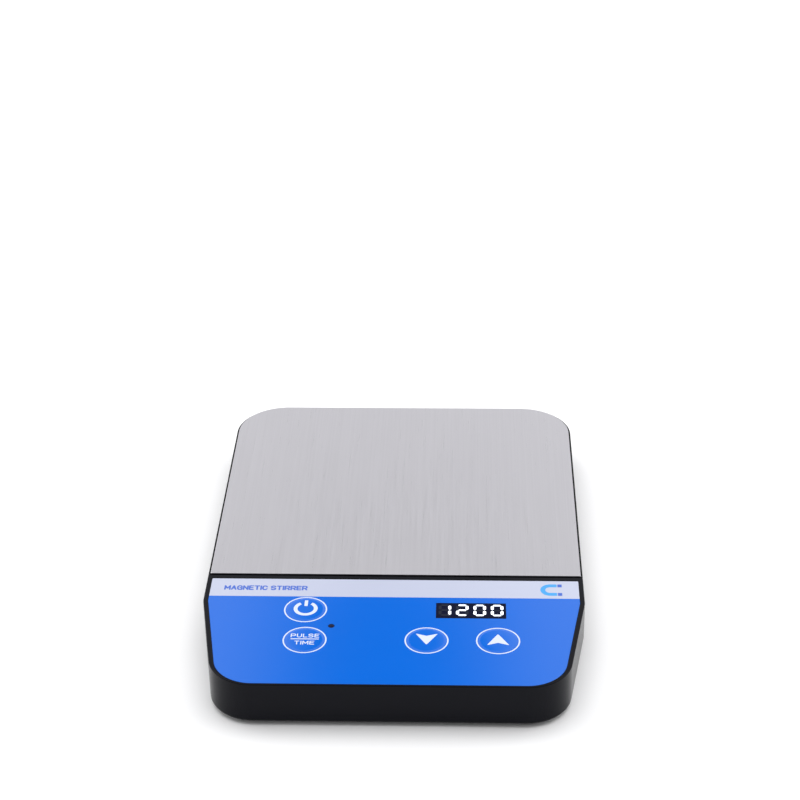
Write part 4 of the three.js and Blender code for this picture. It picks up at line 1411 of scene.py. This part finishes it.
def studio():
    """A pale floor, soft lights at both sides and above, and a bright surrounding room."""
    bm = bmesh.new()
    size = 4
    corners = ((-size, -size), (size, -size), (size, size), (-size, size))
    bm.faces.new([bm.verts.new((x, y, 0)) for x, y in corners])
    material, tree, shader = start_material("pale_floor")
    tone = mix_colours(tree, noise(tree, (3, 3, 3)), (0.90, 0.90, 0.91), (0.92, 0.92, 0.93))
    feed(shader, Base_Color=tone)
    set_inputs(shader, Roughness=0.6, Specular_IOR_Level=0.2)
    mesh_object("floor", bm, material)

    soft_box("light_left", (-0.75, 0.25, 0.55), 0.7, 0.9, 2)
    soft_box("light_right", (0.75, 0.2, 0.55), 0.7, 0.9, 2)
    overhead = soft_box("light_top", (0, 0.1, 1.3), 1.2, 1.2, 8)
    overhead.visible_glossy = False  # so that the steel doesn't mirror it as plain white from above

    world = bpy.data.worlds.new("room")
    bpy.context.scene.world = world
    world.use_nodes = True
    tree = world.node_tree
    background = tree.nodes["Background"]
    around = add_node(tree, "ShaderNodeTexCoord")
    axes = add_node(tree, "ShaderNodeSeparateXYZ")
    feed(axes, Vector=around.outputs["Generated"])
    front_to_rear = spread(tree, axes.outputs["Y"], 0.35, ROOM_BRIGHTNESS, -0.9, 0.1)
    stretch = add_node(tree, "ShaderNodeMapping", Scale=SHADE_STRETCH)
    feed(stretch, Vector=around.outputs["Generated"])
    shade = add_node(tree, "ShaderNodeVectorMath", operation="DISTANCE")
    tree.links.new(stretch.outputs["Vector"], shade.inputs[0])
    shade.inputs[1].default_value = [a * b for a, b in zip(SHADE_TOWARDS, SHADE_STRETCH)]
    clear_of_shade = spread(tree, shade.outputs["Value"], SHADE_BRIGHTNESS, 1.0, *SHADE_SPREAD)
    strength = add_node(tree, "ShaderNodeMath", operation="MULTIPLY")
    tree.links.new(front_to_rear, strength.inputs[0])
    tree.links.new(clear_of_shade, strength.inputs[1])
    set_inputs(background, Color=(1, 1, 1, 1))
    feed(background, Strength=strength.outputs["Value"])
    bpy.context.scene.view_settings.view_transform = "Standard"


# --- the whole stirrer

def build():
    """Makes every piece, the camera and the studio."""
    materials = make_materials()
    camera()
    studio()
    case_shell(materials["case"])
    cover_plate(materials["case_under"])
    steel_plate(materials["steel"])
    screw, ink = materials["screw"], materials["white_ink"]
    for number in range(1, 5):
        rubber_foot(number, materials["rubber"])
        cross_screw(f"cover_screw_{number}", f"case_screw_{number}", 2.4 * MM, True, 1 * MM, screw)
        cross_screw(f"board_fixing_{number}", f"board_screw_{number}", 1.9 * MM, True, 0.8 * MM,
                    screw)
    for number in range(1, 4):
        cross_screw(f"motor_fixing_{number}", f"motor_screw_{number}", 1.9 * MM, False, 0.9 * MM,
                    screw)
    control_film(materials["blue"], materials["pale"])
    for key in KEY_NAMES:
        key_skin(key, materials["blue"], ink)
        key_pusher(key, materials["nylon"])
    power_symbol(ink)
    mode_symbol(ink)
    arrow_symbol("down", -1, ink)
    arrow_symbol("up", 1, ink)
    lettering("panel_title", "MAGNETIC STIRRER", *TITLE_AT, TITLE_WIDTH, TITLE_HEIGHT, TITLE_STROKE,
              FILM_TOP, "case", materials["title_ink"])
    magnet_symbol(materials["symbol_ink"], materials["title_ink"])
    display_pane(materials["window"])
    display_digits(materials["segment_lit"], materials["segment_dark"])
    status_lens(materials["lens"])
    inlet_body(materials["inlet"], materials["nickel"])
    inlet_pin(materials["nickel"])
    board(materials)
    motor(materials)
    finish_nodes(materials)


build()
